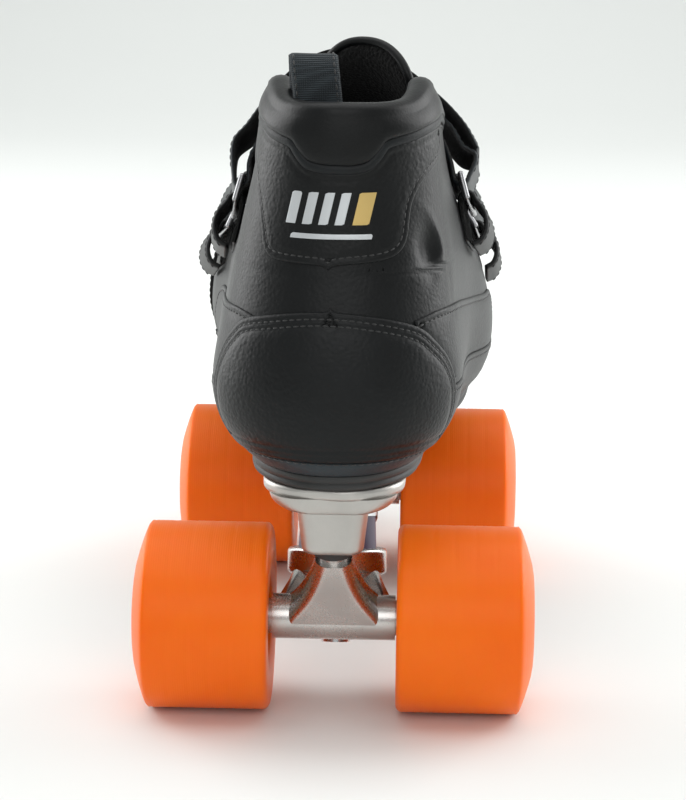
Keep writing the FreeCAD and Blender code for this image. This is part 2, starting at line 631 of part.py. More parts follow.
def hexagon(flats, height, base, axis, bore):
    """A hexagonal nut with chamfered corners."""
    corner = flats / math.sqrt(3)
    points = [Vector(corner * math.cos(math.pi * k / 3), corner * math.sin(math.pi * k / 3), 0)
              for k in range(6)]
    nut = prism(points, Vector(0, 0, height))
    slope = corner - flats / 2
    rise = slope * 0.6
    crown = Part.makeCone(flats / 2 + slope * 0.15, corner + slope * 0.15, rise).fuse(
        Part.makeCylinder(corner + slope * 0.15, height - 2 * rise, Vector(0, 0, rise))).fuse(
        Part.makeCone(corner + slope * 0.15, flats / 2 + slope * 0.15, rise, Vector(0, 0, height - rise)))
    nut = nut.common(crown)
    if bore:
        nut = nut.cut(Part.makeCylinder(bore, height, Vector(0, 0, 0)))
    return placed(nut, base, Rotation(Vector(0, 0, 1), axis))


def placed(shape, base, turn):
    made = shape.copy()
    made.Placement = Placement(base, turn).multiply(shape.Placement)
    return made


def plate_outline():
    """The plate's top view: heel pad, waist, front pad and a toe for the stop."""
    heel, waist, front = PLATE_HEEL_HALF, PLATE_WAIST_HALF, PLATE_FRONT_HALF
    rear_edge = REAR_AXLE_Y - HEEL_OVERHANG + 7.0
    toe_y = FRONT_AXLE_Y + TOE_STOP_AHEAD
    right = [(heel * 0.62, rear_edge + 3.2), (heel * 0.93, rear_edge + 11.0), (heel, REAR_AXLE_Y - 6),
             (heel, REAR_AXLE_Y + 16), (waist + 2.0, REAR_AXLE_Y + 42),
             (waist, REAR_AXLE_Y + WHEELBASE / 2), (waist + 2.5, FRONT_AXLE_Y - 42),
             (front, FRONT_AXLE_Y - 14), (front, FRONT_AXLE_Y + 8),
             (front * 0.82, FRONT_AXLE_Y + 26), (16.5, toe_y - 4), (13.0, toe_y + 11)]
    points = [Vector(0, rear_edge, 0)] + [Vector(x, y, 0) for x, y in right]
    points += [Vector(0, toe_y + 17, 0)] + [Vector(-x, y, 0) for x, y in reversed(right)]
    curve = Part.BSplineCurve()
    curve.interpolate(Points=points, PeriodicFlag=True)
    return Part.Wire([curve.toShape()])


def rounded_rectangle(half_x, y0, y1, radius, z):
    """A closed wire of four lines and four arcs."""
    corners = [(half_x, y0), (half_x, y1), (-half_x, y1), (-half_x, y0)]
    edges = []
    for i, (x, y) in enumerate(corners):
        sx, sy = (1 if x > 0 else -1), (1 if y == y1 else -1)
        centre = Vector(x - sx * radius, y - sy * radius, z)
        start = (-90, 0, 90, 180)[i]
        arc = [centre + Vector(radius * math.cos(math.radians(a)), radius * math.sin(math.radians(a)), 0)
               for a in (start, start + 45, start + 90)]
        edges.append(Part.Arc(*arc).toShape())
    sides = []
    for i in range(4):
        p = edges[i].Vertexes[-1].Point
        q = edges[(i + 1) % 4].Vertexes[0].Point
        sides.append(Part.LineSegment(p, q).toShape())
    ordered = [e for pair in zip(edges, sides) for e in pair]
    return Part.Wire(ordered)


def pivot_housing(truck):
    """The block that holds the pivot cup, flaring into the plate."""
    bottom = PLATE_UNDER_Z - HOUSING_DROP
    far, near = PIVOT_U - HOUSING_OUTBOARD, PIVOT_U + HOUSING_INBOARD
    flare = 5.2
    levels = []
    steps = 6
    for i in range(steps + 1):
        angle = math.pi / 2 * i / steps
        levels.append((PLATE_UNDER_Z + 0.5 - flare * math.sin(angle), flare * 1.75 * (1 - math.cos(angle))))
    flare_grow = flare * 1.75
    wires = []
    for z, back in levels:
        grow = flare_grow - back
        wires.append(rounded_rectangle(HOUSING_TOP_HALF + grow, far - grow * 0.12, near + grow * 0.7,
                                       5.0 + grow * 0.6, z))
    top_z = levels[-1][0]
    upper = Part.makeLoft(wires, True, False)
    block_wires = [rounded_rectangle(HOUSING_TOP_HALF + (HOUSING_BOTTOM_HALF - HOUSING_TOP_HALF) * t,
                                     far + 1.2 * t, near - 0.6 * t, 5.0, top_z + (bottom - top_z) * t)
                   for t in (0.0, 1.0)]
    block = Part.makeLoft(block_wires, True, True)
    low_edges = [e for e in block.Edges if all(abs(v.Z - bottom) < 0.01 for v in e.Vertexes)]
    block = block.makeFillet(2.2, low_edges)
    return truck.placed_local(upper.fuse(block).removeSplitter(), z_is_floor=True)


class Truck:
    """One truck. u runs inboard from the axle and w up from it; turn is 1 at the rear, -1 at the front."""

    def __init__(self, name, axle_y, turn):
        self.name = name
        self.axle_y = axle_y
        self.turn = turn

    def point(self, x, u, w):
        return Vector(x * self.turn, self.axle_y + self.turn * u, AXLE_Z + w)

    def direction(self, x, u, w):
        return Vector(x * self.turn, self.turn * u, w)

    def placed_local(self, shape, z_is_floor=False):
        """Carries a shape drawn as (x, u, w) into the skate's frame."""
        spin = Rotation(Vector(0, 0, 1), 0 if self.turn > 0 else 180)
        return placed(shape, Vector(0, self.axle_y, 0 if z_is_floor else AXLE_Z), spin)


KING_DIR = Vector(0, math.sin(math.radians(KINGPIN_TILT)), math.cos(math.radians(KINGPIN_TILT)))
RING_AT = Vector(0, RING_U, RING_W)
PIVOT_AT = Vector(0, PIVOT_U, PIVOT_W)
PIN_DIR = Vector(0, PIVOT_U, PIVOT_W).normalize()
UPPER_SEAT = RING_THICKNESS / 2 + CUSHION_UPPER
LOWER_SEAT = RING_THICKNESS / 2 + CUSHION_LOWER


def king_cylinder(radius, start, end):
    """A cylinder on the kingpin's axis, in a truck's own frame, from one height to another on it."""
    return Part.makeCylinder(radius, end - start, RING_AT + KING_DIR * start, KING_DIR)


def section_wire(centre, along, half_width, half_depth, radius):
    """A rounded rectangle across a direction that has no x part."""
    flat = rounded_rectangle(half_width, -half_depth, half_depth, min(radius, half_depth * 0.95), 0)
    tilt = -math.degrees(math.atan2(along.y, along.z))
    return placed(flat, centre, Rotation(Vector(1, 0, 0), tilt))


def hanger_shape():
    """Barrel, pivot arm with its round-ended pin, and the ring between the cushions."""
    half = WHEEL_INNER_X - WHEEL_CLEARANCE
    barrel = Part.makeCylinder(BARREL_RADIUS, 2 * half, Vector(-half, 0, 0), Vector(1, 0, 0))
    boss_end = BEARING_X[0]
    bosses = Part.makeCylinder(5.9, 2 * boss_end, Vector(-boss_end, 0, 0), Vector(1, 0, 0))

    reach = (PIVOT_AT - PIN_DIR * 8.5).Length
    arm_stations = ((0.02, half - 1.6, 7.2), (0.18, 16.4, 6.8), (0.36, 12.6, 6.4), (0.56, 9.6, 6.1),
                    (0.78, 7.4, 5.9), (1.0, 6.0, 5.7))
    arm = Part.makeLoft([section_wire(PIN_DIR * reach * t, PIN_DIR, w, d, 4.6) for t, w, d in arm_stations],
                        True, False)
    pin = Part.makeCylinder(PIVOT_RADIUS - 0.6, 9.5, PIVOT_AT - PIN_DIR * 9.5, PIN_DIR)
    ball = Part.makeSphere(PIVOT_RADIUS, PIVOT_AT)

    to_ring = Vector(0, RING_U, RING_W).normalize()
    web_stations = ((0.02, half - 0.8, 7.0), (0.30, 18.0, 5.6), (0.62, 15.4, 4.6), (0.86, 14.6, 4.2))
    span = RING_AT.Length
    web = Part.makeLoft([section_wire(to_ring * span * t, to_ring, w, d, 3.6) for t, w, d in web_stations],
                        True, False)
    ring = king_cylinder(RING_RADIUS, -RING_THICKNESS / 2, RING_THICKNESS / 2)
    rim = [e for e in ring.Edges if e.Curve.TypeId == "Part::GeomCircle"]
    ring = ring.makeFillet(1.6, rim)
    body = barrel.multiFuse([bosses, arm, pin, ball, web, ring])
    body = body.cut(king_cylinder(RING_RADIUS - 3.2, RING_THICKNESS / 2, RING_THICKNESS / 2 + 14))
    body = body.cut(king_cylinder(RING_RADIUS - 3.2, -RING_THICKNESS / 2 - 14, -RING_THICKNESS / 2))
    body = body.cut(king_cylinder(RING_BORE, -30, 30))
    body = body.cut(Part.makeCylinder(BEARING_BORE / 2, 4 * half, Vector(-2 * half, 0, 0), Vector(1, 0, 0)))
    return biggest(body.removeSplitter())


def pivot_cup_shape():
    """A urethane cup that the pivot ball turns in, with a mouth that lets the pin swing."""
    cup = Part.makeCylinder(CUP_RADIUS, CUP_DEPTH + CUP_MOUTH, PIVOT_AT - PIN_DIR * CUP_MOUTH, PIN_DIR)
    cup = cup.cut(Part.makeSphere(PIVOT_RADIUS + PIVOT_GAP, PIVOT_AT))
    swing = Part.makeCone(PIVOT_RADIUS + PIVOT_GAP, PIVOT_RADIUS + 1.5, CUP_MOUTH + 1,
                          PIVOT_AT, PIN_DIR * -1)
    return biggest(cup.cut(swing))


def cone_along(axis_from, axis_to, low, high):
    """A truncated cone on the kingpin's axis with a bore for the kingpin."""
    solid = Part.makeCone(low, high, abs(axis_to - axis_from), RING_AT + KING_DIR * axis_from,
                          KING_DIR * (1 if axis_to > axis_from else -1))
    return solid.cut(king_cylinder(KINGPIN_RADIUS + 0.3, -60, 60))


def truck_fixed(truck, add):
    """What stays with the plate: pivot cup, kingpin, nut, cushions and their retainers."""
    def put(name, shape):
        add(name + "_" + truck.name, truck.placed_local(shape))

    put("pivot_cup", pivot_cup_shape())
    low_end = -LOWER_SEAT - RETAINER_THICKNESS - KINGPIN_NUT_HEIGHT - 1.5
    top_end = UPPER_SEAT + RETAINER_THICKNESS + 16
    put("kingpin", king_cylinder(KINGPIN_RADIUS, low_end, top_end))
    put("cushion_upper", cone_along(RING_THICKNESS / 2, UPPER_SEAT, CUSHION_RADIUS, CUSHION_RADIUS - 0.5))
    put("cushion_lower", cone_along(-RING_THICKNESS / 2, -LOWER_SEAT, CUSHION_RADIUS - 0.3, 10.6))
    washers = []
    for seat, side, radius in ((UPPER_SEAT, 1, CUSHION_RADIUS), (LOWER_SEAT, -1, CUSHION_RADIUS - 1.2)):
        low = seat if side > 0 else -seat - RETAINER_THICKNESS
        disc = king_cylinder(radius, low, low + RETAINER_THICKNESS)
        washers.append(disc.cut(king_cylinder(KINGPIN_RADIUS, -60, 60)))
    put("cushion_retainers", Part.makeCompound(washers))
    nut_base = RING_AT + KING_DIR * (-LOWER_SEAT - RETAINER_THICKNESS - KINGPIN_NUT_HEIGHT)
    put("kingpin_nut", hexagon(KINGPIN_NUT_AF, KINGPIN_NUT_HEIGHT, nut_base, KING_DIR, KINGPIN_RADIUS))


def truck_moving(truck, add):
    """What turns with the hanger: the hanger, its axle, the inner rings and the axle nuts."""
    def put(name, shape):
        add(name + "_" + truck.name, truck.placed_local(shape))

    x_axis = Vector(1, 0, 0)
    put("hanger", hanger_shape())
    put("axle", Part.makeCylinder(BEARING_BORE / 2, 2 * AXLE_HALF, Vector(-AXLE_HALF, 0, 0), x_axis))
    rings, nuts = [], []
    for side in (1, -1):
        for start in BEARING_X:
            rings.append(inner_ring(side, start))
        spacer_start = BEARING_X[0] + BEARING_WIDTH
        tube = Part.makeCylinder(BEARING_BORE / 2 + 1.5, BEARING_SPACING, Vector(side * spacer_start, 0, 0),
                                 Vector(side, 0, 0))
        rings.append(tube.cut(Part.makeCylinder(BEARING_BORE / 2, 200, Vector(-100, 0, 0), x_axis)))
        base = Vector(side * (BEARING_X[1] + BEARING_WIDTH), 0, 0)
        nuts.append(hexagon(AXLE_NUT_AF, AXLE_NUT_HEIGHT, base, Vector(side, 0, 0), BEARING_BORE / 2))
    put("bearing_inner_rings", Part.makeCompound(rings))
    put("axle_nuts", Part.makeCompound(nuts))


# ---------------------------------------------------------------- wheels
PITCH_RADIUS = (BEARING_OD + BEARING_BORE) / 4


def groove(side, start):
    """The ball track of one bearing, cut into both of its rings."""
    centre = Vector(side * (start + BEARING_WIDTH / 2), 0, 0)
    return Part.makeTorus(PITCH_RADIUS, BALL_RADIUS + GROOVE_GAP, centre, Vector(1, 0, 0))


def tube_x(outer, inner, side, start, length):
    base, axis = Vector(side * start, 0, 0), Vector(side, 0, 0)
    return Part.makeCylinder(outer, length, base, axis).cut(Part.makeCylinder(inner, length, base, axis))


def inner_ring(side, start):
    ring = tube_x(PITCH_RADIUS - 1.55, BEARING_BORE / 2, side, start, BEARING_WIDTH)
    return ring.cut(groove(side, start))


def lathe(profile, side):
    """A body of revolution about X from a closed wire or polygon of (x, radius)."""
    turned = profile.revolve(Vector(0, 0, 0), Vector(1, 0, 0), 360)
    return turned if side > 0 else turned.mirror(Vector(0, 0, 0), Vector(1, 0, 0))


def tyre_profile():
    """Flat tread, a long soft outer lip, a small inner bevel and dished faces."""
    inner, outer = WHEEL_INNER_X, WHEEL_INNER_X + WHEEL_WIDTH
    r, hub0 = WHEEL_DIAMETER / 2, WHEEL_INNER_X + HUB_INSET
    hub1 = hub0 + HUB_LENGTH

    def at(x, radius):
        return Vector(x, radius, 0)

    lip = Part.BSplineCurve()
    lip.interpolate(Points=[at(outer - 5.2, r), at(outer - 3.0, r - 4.0), at(outer - 0.9, r - 10.0),
                            at(outer, r - 15.0)],
                    InitialTangent=Vector(3, 0, 0), FinalTangent=Vector(0, -4, 0))
    bevel = Part.Arc(at(inner, r - 2.4), at(inner + 0.6, r - 0.7), at(inner + 2.2, r))
    edges = [
        Part.LineSegment(at(hub0, HUB_RADIUS), at(inner, HUB_RADIUS + 5)),
        Part.LineSegment(at(inner, HUB_RADIUS + 5), at(inner, r - 2.4)),
        bevel,
        Part.LineSegment(at(inner + 2.2, r), at(outer - 5.2, r)),
        lip,
        Part.LineSegment(at(outer, r - 15.0), at(outer - 0.9, HUB_RADIUS + 0.6)),
        Part.LineSegment(at(outer - 0.9, HUB_RADIUS + 0.6), at(hub1, HUB_RADIUS)),
        Part.LineSegment(at(hub1, HUB_RADIUS), at(hub0, HUB_RADIUS)),
    ]
    return Part.Face(Part.Wire([e.toShape() for e in edges]))


def hub_shape(side):
    """A moulded core: two bearing seats, a shoulder between them and a ring of pockets in each face."""
    x0 = WHEEL_INNER_X + HUB_INSET
    hub = tube_x(HUB_RADIUS, BEARING_OD / 2, side, x0, HUB_LENGTH)
    shoulder = tube_x(BEARING_OD / 2, BEARING_OD / 2 - 1.6, side, BEARING_X[0] + BEARING_WIDTH,
                      BEARING_SPACING)
    hub = hub.fuse(shoulder)
    count, depth = 12, 6.0
    for k in range(count):
        angle = 2 * math.pi * k / count
        r = (HUB_RADIUS + BEARING_OD / 2) / 2
        for x in (x0 - 0.1, x0 + HUB_LENGTH - depth + 0.1):
            base = Vector(side * x, r * math.cos(angle), r * math.sin(angle))
            hub = hub.cut(Part.makeCylinder(1.0, depth, base, Vector(side, 0, 0)))
    return hub


def make_wheel(truck, side, add):
    label = truck.name + ("_outer" if side > 0 else "_inner")

    def put(name, shape):
        made = shape.copy()
        made.translate(Vector(0, truck.axle_y, AXLE_Z))
        add(name + "_" + label, made)

    put("tyre", lathe(tyre_profile(), side))
    put("hub", hub_shape(side))
    races, balls = [], []
    for start in BEARING_X:
        race = tube_x(BEARING_OD / 2, PITCH_RADIUS + 1.75, side, start, BEARING_WIDTH)
        races.append(race.cut(groove(side, start)))
        for x in (start + 0.15, start + BEARING_WIDTH - 0.15 - SHIELD_THICKNESS):
            races.append(tube_x(PITCH_RADIUS + 1.75, PITCH_RADIUS - 1.3, side, x, SHIELD_THICKNESS))
        for k in range(BALL_COUNT):
            angle = 2 * math.pi * k / BALL_COUNT
            centre = Vector(side * (start + BEARING_WIDTH / 2), PITCH_RADIUS * math.cos(angle),
                            PITCH_RADIUS * math.sin(angle))
            balls.append(Part.makeSphere(BALL_RADIUS, centre))
    put("bearing_outer_rings", Part.makeCompound(races))
    put("bearing_balls", Part.makeCompound(balls))


# ---------------------------------------------------------------- plate and toe stop
STOP_DIR = Vector(0, math.sin(math.radians(TOE_STOP_TILT)), -math.cos(math.radians(TOE_STOP_TILT)))
STOP_TOP = Vector(0, FRONT_AXLE_Y + TOE_STOP_AHEAD, PLATE_UNDER_Z)
STOP_BOSS_RADIUS = 12.5
STOP_BOSS_LENGTH = 13.0


def stop_cylinder(radius, start, end):
    return Part.makeCylinder(radius, end - start, STOP_TOP + STOP_DIR * start, STOP_DIR)


def make_plate(add, trucks):
    """The cast plate: a pad under the boot with both pivot housings, kingpin bosses and a toe-stop boss."""
    pad = Part.Face(plate_outline()).extrude(Vector(0, 0, PLATE_THICKNESS))
    pad = pad.makeFillet(1.4, pad.Edges)
    pad.translate(Vector(0, 0, PLATE_UNDER_Z))
    under = Part.makeBox(400, 800, 200, Vector(-200, -400, PLATE_UNDER_Z + PLATE_THICKNESS / 2 - 200))
    pieces, bores = [], []
    for truck in trucks:
        pieces.append(pivot_housing(truck))
        boss_start = UPPER_SEAT + RETAINER_THICKNESS
        boss = Part.makeCone(CUSHION_RADIUS - 1.6, CUSHION_RADIUS + 0.6, 34,
                             RING_AT + KING_DIR * boss_start, KING_DIR)
        pieces.append(truck.placed_local(boss).common(under))
        bores.append(truck.placed_local(king_cylinder(KINGPIN_RADIUS, boss_start - 1,
                                                      boss_start + 16)))
        cup_bore = Part.makeCylinder(CUP_RADIUS, 26, PIVOT_AT + PIN_DIR * CUP_DEPTH, PIN_DIR * -1)
        bores.append(truck.placed_local(cup_bore))
    spine_y0 = REAR_AXLE_Y + RING_U + 12
    spine = Part.makeBox(9.0, WHEELBASE - 2 * (RING_U + 12), 9.5,
                         Vector(-4.5, spine_y0, PLATE_UNDER_Z - 9.0))
    long_edges = [e for e in spine.Edges if abs(e.Vertexes[0].Y - e.Vertexes[-1].Y) > 10 and
                  e.Vertexes[0].Z < PLATE_UNDER_Z]
    pieces.append(spine.makeFillet(2.5, long_edges))
    pieces.append(stop_cylinder(STOP_BOSS_RADIUS, -10, STOP_BOSS_LENGTH).common(under))
    bores.append(stop_cylinder(STEM_RADIUS + STEM_GAP, -30, 40))
    plate = pad.multiFuse(pieces).removeSplitter()
    for bore in bores:
        plate = plate.cut(bore)
    plate = plate.cut(bolt_shanks(BOLT_RADIUS + BOLT_CLEARANCE, PLATE_UNDER_Z - 30, 60))
    add("plate", biggest(plate))


def make_bolts(add):
    bolts, nuts = [], []
    head_z = UPPER_Z + BOARD_THICKNESS
    low = PLATE_UNDER_Z - BOLT_NUT_HEIGHT - 1.0
    for x, y in bolt_places():
        shank = Part.makeCylinder(BOLT_RADIUS, head_z - low, Vector(x, y, low))
        head = Part.makeCylinder(BOLT_HEAD_RADIUS, BOLT_HEAD_HEIGHT, Vector(x, y, head_z))
        bolts.append(shank.fuse(head).removeSplitter())
        nuts.append(hexagon(BOLT_NUT_AF, BOLT_NUT_HEIGHT, Vector(x, y, PLATE_UNDER_Z - BOLT_NUT_HEIGHT),
                            Vector(0, 0, 1), BOLT_RADIUS))
    add("mounting_bolts", Part.makeCompound(bolts))
    add("mounting_nuts", Part.makeCompound(nuts))


def make_toe_stop(add):
    """A rubber stopper moulded on a threaded stem, locked by a nut against the plate's boss."""
    nut_end = STOP_BOSS_LENGTH + TOE_NUT_HEIGHT
    rubber_start = nut_end + TOE_STOP_TRAVEL + 1.5
    add("toe_stop_nut", hexagon(TOE_NUT_AF, TOE_NUT_HEIGHT, STOP_TOP + STOP_DIR * STOP_BOSS_LENGTH,
                                STOP_DIR, STEM_RADIUS + STEM_GAP))
    stem = stop_cylinder(STEM_RADIUS, TOE_STOP_TRAVEL, rubber_start + 9)
    flange = stop_cylinder(STEM_RADIUS + 5, rubber_start + 3, rubber_start + 5)
    stem = stem.fuse(flange).removeSplitter()
    add("toe_stop_stem", stem)
    crown = Part.makeCone(TOE_STOP_RADIUS - 5, TOE_STOP_RADIUS, 6,
                          STOP_TOP + STOP_DIR * rubber_start, STOP_DIR)
    disc = stop_cylinder(TOE_STOP_RADIUS, rubber_start + 6, rubber_start + TOE_STOP_HEIGHT)
    foot = [e for e in disc.Edges if e.Curve.TypeId == "Part::GeomCircle" and
            e.CenterOfMass.z < (STOP_TOP + STOP_DIR * (rubber_start + 12)).z]
    rubber = crown.fuse(disc.makeFillet(2.5, foot)).cut(stem)
    add("toe_stop_rubber", biggest(rubber.removeSplitter()))


# ---------------------------------------------------------------- write every piece
def main():
    os.makedirs("parts", exist_ok=True)

    def add(name, shape):
        solids = shape.Solids
        faulty = [s for s in solids if not s.isValid() or s.Volume <= 0]
        if not solids or faulty:
            print("FAULT", name, len(solids), len(faulty))
        made = solids[0] if len(solids) == 1 else Part.makeCompound(solids)
        made.exportStep("parts/" + name + ".step")

    trucks = [Truck("rear", REAR_AXLE_Y, 1), Truck("front", FRONT_AXLE_Y, -1)]
    make_boot(add)
    make_straps(add)
    make_plate(add, trucks)
    make_bolts(add)
    make_toe_stop(add)
    for truck in trucks:
        truck_fixed(truck, add)
        truck_moving(truck, add)
        for side in (1, -1):
            make_wheel(truck, side, add)
    for truck in trucks:
        a, b = truck.point(0, PIVOT_U, PIVOT_W), truck.point(0, RING_U, RING_W)
        print(truck.name, "steer through", [round(v, 3) for v in a], [round(v, 3) for v in b])


main()
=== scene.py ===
import bmesh
import bpy
import json
import math
import numpy as np
from mathutils import Matrix, Vector
from mathutils.geometry import delaunay_2d_cdt

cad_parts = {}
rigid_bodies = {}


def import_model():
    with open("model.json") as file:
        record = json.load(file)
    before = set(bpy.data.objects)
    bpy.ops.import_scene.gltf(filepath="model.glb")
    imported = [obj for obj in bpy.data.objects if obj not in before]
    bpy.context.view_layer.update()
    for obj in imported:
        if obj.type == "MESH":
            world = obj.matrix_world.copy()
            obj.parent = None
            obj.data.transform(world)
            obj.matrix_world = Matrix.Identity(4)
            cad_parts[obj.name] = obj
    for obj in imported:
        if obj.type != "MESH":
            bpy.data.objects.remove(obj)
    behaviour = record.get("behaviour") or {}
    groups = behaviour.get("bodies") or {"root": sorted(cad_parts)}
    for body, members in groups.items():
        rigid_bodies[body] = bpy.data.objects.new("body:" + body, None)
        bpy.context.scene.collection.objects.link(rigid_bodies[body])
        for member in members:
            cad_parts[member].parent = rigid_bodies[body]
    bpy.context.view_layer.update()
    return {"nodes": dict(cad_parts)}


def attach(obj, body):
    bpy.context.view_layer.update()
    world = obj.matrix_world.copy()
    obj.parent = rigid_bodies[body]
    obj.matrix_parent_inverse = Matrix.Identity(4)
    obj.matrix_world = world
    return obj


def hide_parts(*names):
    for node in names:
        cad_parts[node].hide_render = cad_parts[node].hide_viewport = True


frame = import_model()

MM = 0.001
LENGTH, UPPER_Z, COLLAR_Z, WALL = 282.0, 88.0, 205.0, 4.5
HEEL = -LENGTH / 2
REAR_Y, FRONT_Y, AXLE_Z = -105.0, 55.0, 31.0

# ------------------------------------------------------------------ the boot's surface
STATIONS = np.array((36.0, 81.0, 126.0, 171.0, 216.0, 261.0))
LAST = (
    (0.0, 5.0, 278.0, 38, 58, (27.3, 32.0, 43.5, 48.0, 46.5, 41.0), (27.3, 29.0, 34.0, 42.0, 44.5, 39.0)),
    (4.0, 3.0, 280.0, 39, 60, (31.2, 35.0, 46.5, 50.8, 49.0, 43.5), (31.2, 32.5, 37.5, 45.0, 47.0, 42.0)),
    (9.0, 1.4, 281.5, 40, 62, (35.2, 38.5, 49.5, 53.0, 51.0, 45.5), (35.2, 36.0, 40.5, 47.6, 49.0, 44.0)),
    (16.0, 0.3, 282.0, 40, 64, (38.3, 41.3, 51.5, 54.4, 52.3, 47.0), (38.3, 39.2, 42.8, 49.2, 50.4, 45.5)),
    (25.0, 0.0, 281.5, 40, 67, (39.7, 42.8, 52.0, 54.2, 52.0, 47.0), (39.5, 40.8, 43.5, 49.0, 50.0, 45.5)),
    (33.0, 0.6, 279.0, 40, 71, (39.2, 43.2, 51.0, 52.8, 50.5, 46.0), (38.6, 40.6, 42.8, 47.6, 48.6, 44.5)),
    (40.0, 1.6, 273.5, 39, 76, (38.2, 43.2, 49.4, 50.8, 48.5, 45.0), (37.2, 39.8, 41.6, 45.8, 46.6, 43.5)),
    (46.0, 2.9, 263.0, 39, 82, (37.5, 42.9, 47.8, 48.6, 46.5, 44.0), (36.1, 38.9, 40.3, 43.9, 44.8, 42.5)),
    (51.0, 4.1, 246.0, 38, 88, (37.0, 42.5, 46.4, 46.6, 45.0, 43.0), (35.2, 38.1, 39.2, 42.2, 43.2, 41.5)),
    (56.0, 5.3, 226.0, 38, 94, (36.6, 42.0, 45.0, 44.6, 43.5, 42.0), (34.4, 37.3, 38.2, 40.4, 41.5, 40.5)),
    (64.0, 7.2, 198.0, 37, 96, (35.8, 40.6, 42.6, 41.8, 41.0, 40.0), (32.9, 35.0, 35.6, 37.2, 38.2, 37.8)),
    (76.0, 9.4, 169.0, 36, 84, (34.4, 37.4, 38.4, 37.6, 37.0, 37.0), (30.6, 32.0, 32.6, 33.2, 33.5, 33.0)),
    (89.0, 10.6, 145.0, 35, 70, (32.8, 34.8, 34.8, 34.0, 34.0, 34.0), (27.6, 28.9, 29.4, 29.6, 29.6, 29.6)),
    (101.0, 10.4, 127.0, 35, 60, (31.6, 33.2, 32.4, 32.0, 32.0, 32.0), (25.3, 27.0, 27.6, 27.8, 27.8, 27.8)),
    (112.0, 8.8, 113.5, 36, 52, (30.8, 32.0, 30.6, 30.0, 30.0, 30.0), (24.2, 26.0, 26.4, 26.4, 26.4, 26.4)),
    (123.0, 6.6, 104.0, 37, 47, (30.3, 31.2, 29.6, 29.0, 29.0, 29.0), (23.6, 26.0, 26.2, 26.0, 26.0, 26.0)),
    (136.0, 4.0, 97.0, 38, 44, (30.0, 31.0, 29.2, 28.6, 28.6, 28.6), (23.2, 25.6, 25.8, 25.6, 25.6, 25.6)),
)
LAST_Z = np.array([r[0] for r in LAST]) + UPPER_Z


def hermite(xs, ys, x):
    """Cubic Hermite interpolation with finite-difference slopes, level past both ends."""
    xs, ys, x = np.asarray(xs, float), np.asarray(ys, float), np.asarray(x, float)
    n = len(xs)
    i = np.clip(np.searchsorted(xs, x, "right") - 1, 0, n - 2)
    lo, hi = np.maximum(np.arange(n) - 1, 0), np.minimum(np.arange(n) + 1, n - 1)
    slope = (ys[hi] - ys[lo]) / (xs[hi] - xs[lo])
    h = xs[i + 1] - xs[i]
    t = np.clip((x - xs[i]) / h, 0, 1)
    return ((1 + 2 * t) * (1 - t) ** 2 * ys[i] + t * (1 - t) ** 2 * h * slope[i]
            + t * t * (3 - 2 * t) * ys[i + 1] + t * t * (t - 1) * h * slope[i + 1])


def unit(v):
    """Vectors along the last axis, scaled to length one."""
    return v / np.maximum(np.linalg.norm(v, axis=-1, keepdims=True), 1e-9)


def tangents(path):
    return unit(np.gradient(path, axis=0))


def closing(u):
    u = np.clip(u, 0, 1)
    return (1 - (1 - u) ** 2.1) ** (1 / 2.1)


def middle(y):
    t = np.clip((y - HEEL - 100.0) / (LENGTH - 100.0), 0, 1)
    return -6.0 * t * t * (3 - 2 * t)


Z0, DZ, NZ = 84.0, 1.0, 152
SHAPE_TOP = 226.0  # above this level the boot's outline is taken as it is here
NA = 1441
THETAS = np.linspace(-math.pi, math.pi, NA)
Y0, DY, NY = HEEL - 4, 1.0, 292
GRID = np.zeros((NZ, NA, 3))
ARC = np.zeros((NZ, NA))
HALVES = {1: np.zeros((NZ, NY)), -1: np.zeros((NZ, NY))}


def build_grid():
    for k in range(NZ):
        z = Z0 + DZ * k
        cols = [float(hermite(LAST_Z, [r[i] for r in LAST], z)) for i in (1, 2, 3, 4)]
        start, end = HEEL + cols[0], HEEL + cols[1]
        tables = {}
        for side, col in ((1, 5), (-1, 6)):
            tables[side] = [float(hermite(LAST_Z, [r[col][j] for r in LAST], z)) for j in range(6)]

        def half(y, side):
            width = hermite(STATIONS, tables[side], y - HEEL)
            inside = (y > start) & (y < end)
            return np.where(inside, width * closing((y - start) / cols[2]) * closing((end - y) / cols[3]), 0)

        y = start + (end - start) * (1 - np.cos(THETAS)) / 2
        side_x = np.where(THETAS >= 0, half(y, 1), -half(y, -1))
        GRID[k, :, 0] = middle(y) + side_x
        GRID[k, :, 1] = y
        GRID[k, :, 2] = z
        steps = np.hypot(np.diff(GRID[k, :, 0]), np.diff(GRID[k, :, 1]))
        arc = np.concatenate(([0], np.cumsum(steps)))
        ARC[k] = arc - arc[NA // 2]
        ys = Y0 + DY * np.arange(NY)
        for side in (1, -1):
            HALVES[side][k] = half(ys, side)


build_grid()


def bilinear(table, a, b):
    """A table's value at fractional indices a, b."""
    i = np.clip(np.floor(a).astype(int), 0, table.shape[0] - 2)
    j = np.clip(np.floor(b).astype(int), 0, table.shape[1] - 2)
    s, t = np.clip(a - i, 0, 1), np.clip(b - j, 0, 1)
    if table.ndim == 3:
        s, t = s[..., None], t[..., None]
    return ((1 - s) * (1 - t) * table[i, j] + s * (1 - t) * table[i + 1, j]
            + (1 - s) * t * table[i, j + 1] + s * t * table[i + 1, j + 1])


def angle_index(theta):
    return (np.asarray(theta, float) + math.pi) / (2 * math.pi) * (NA - 1)


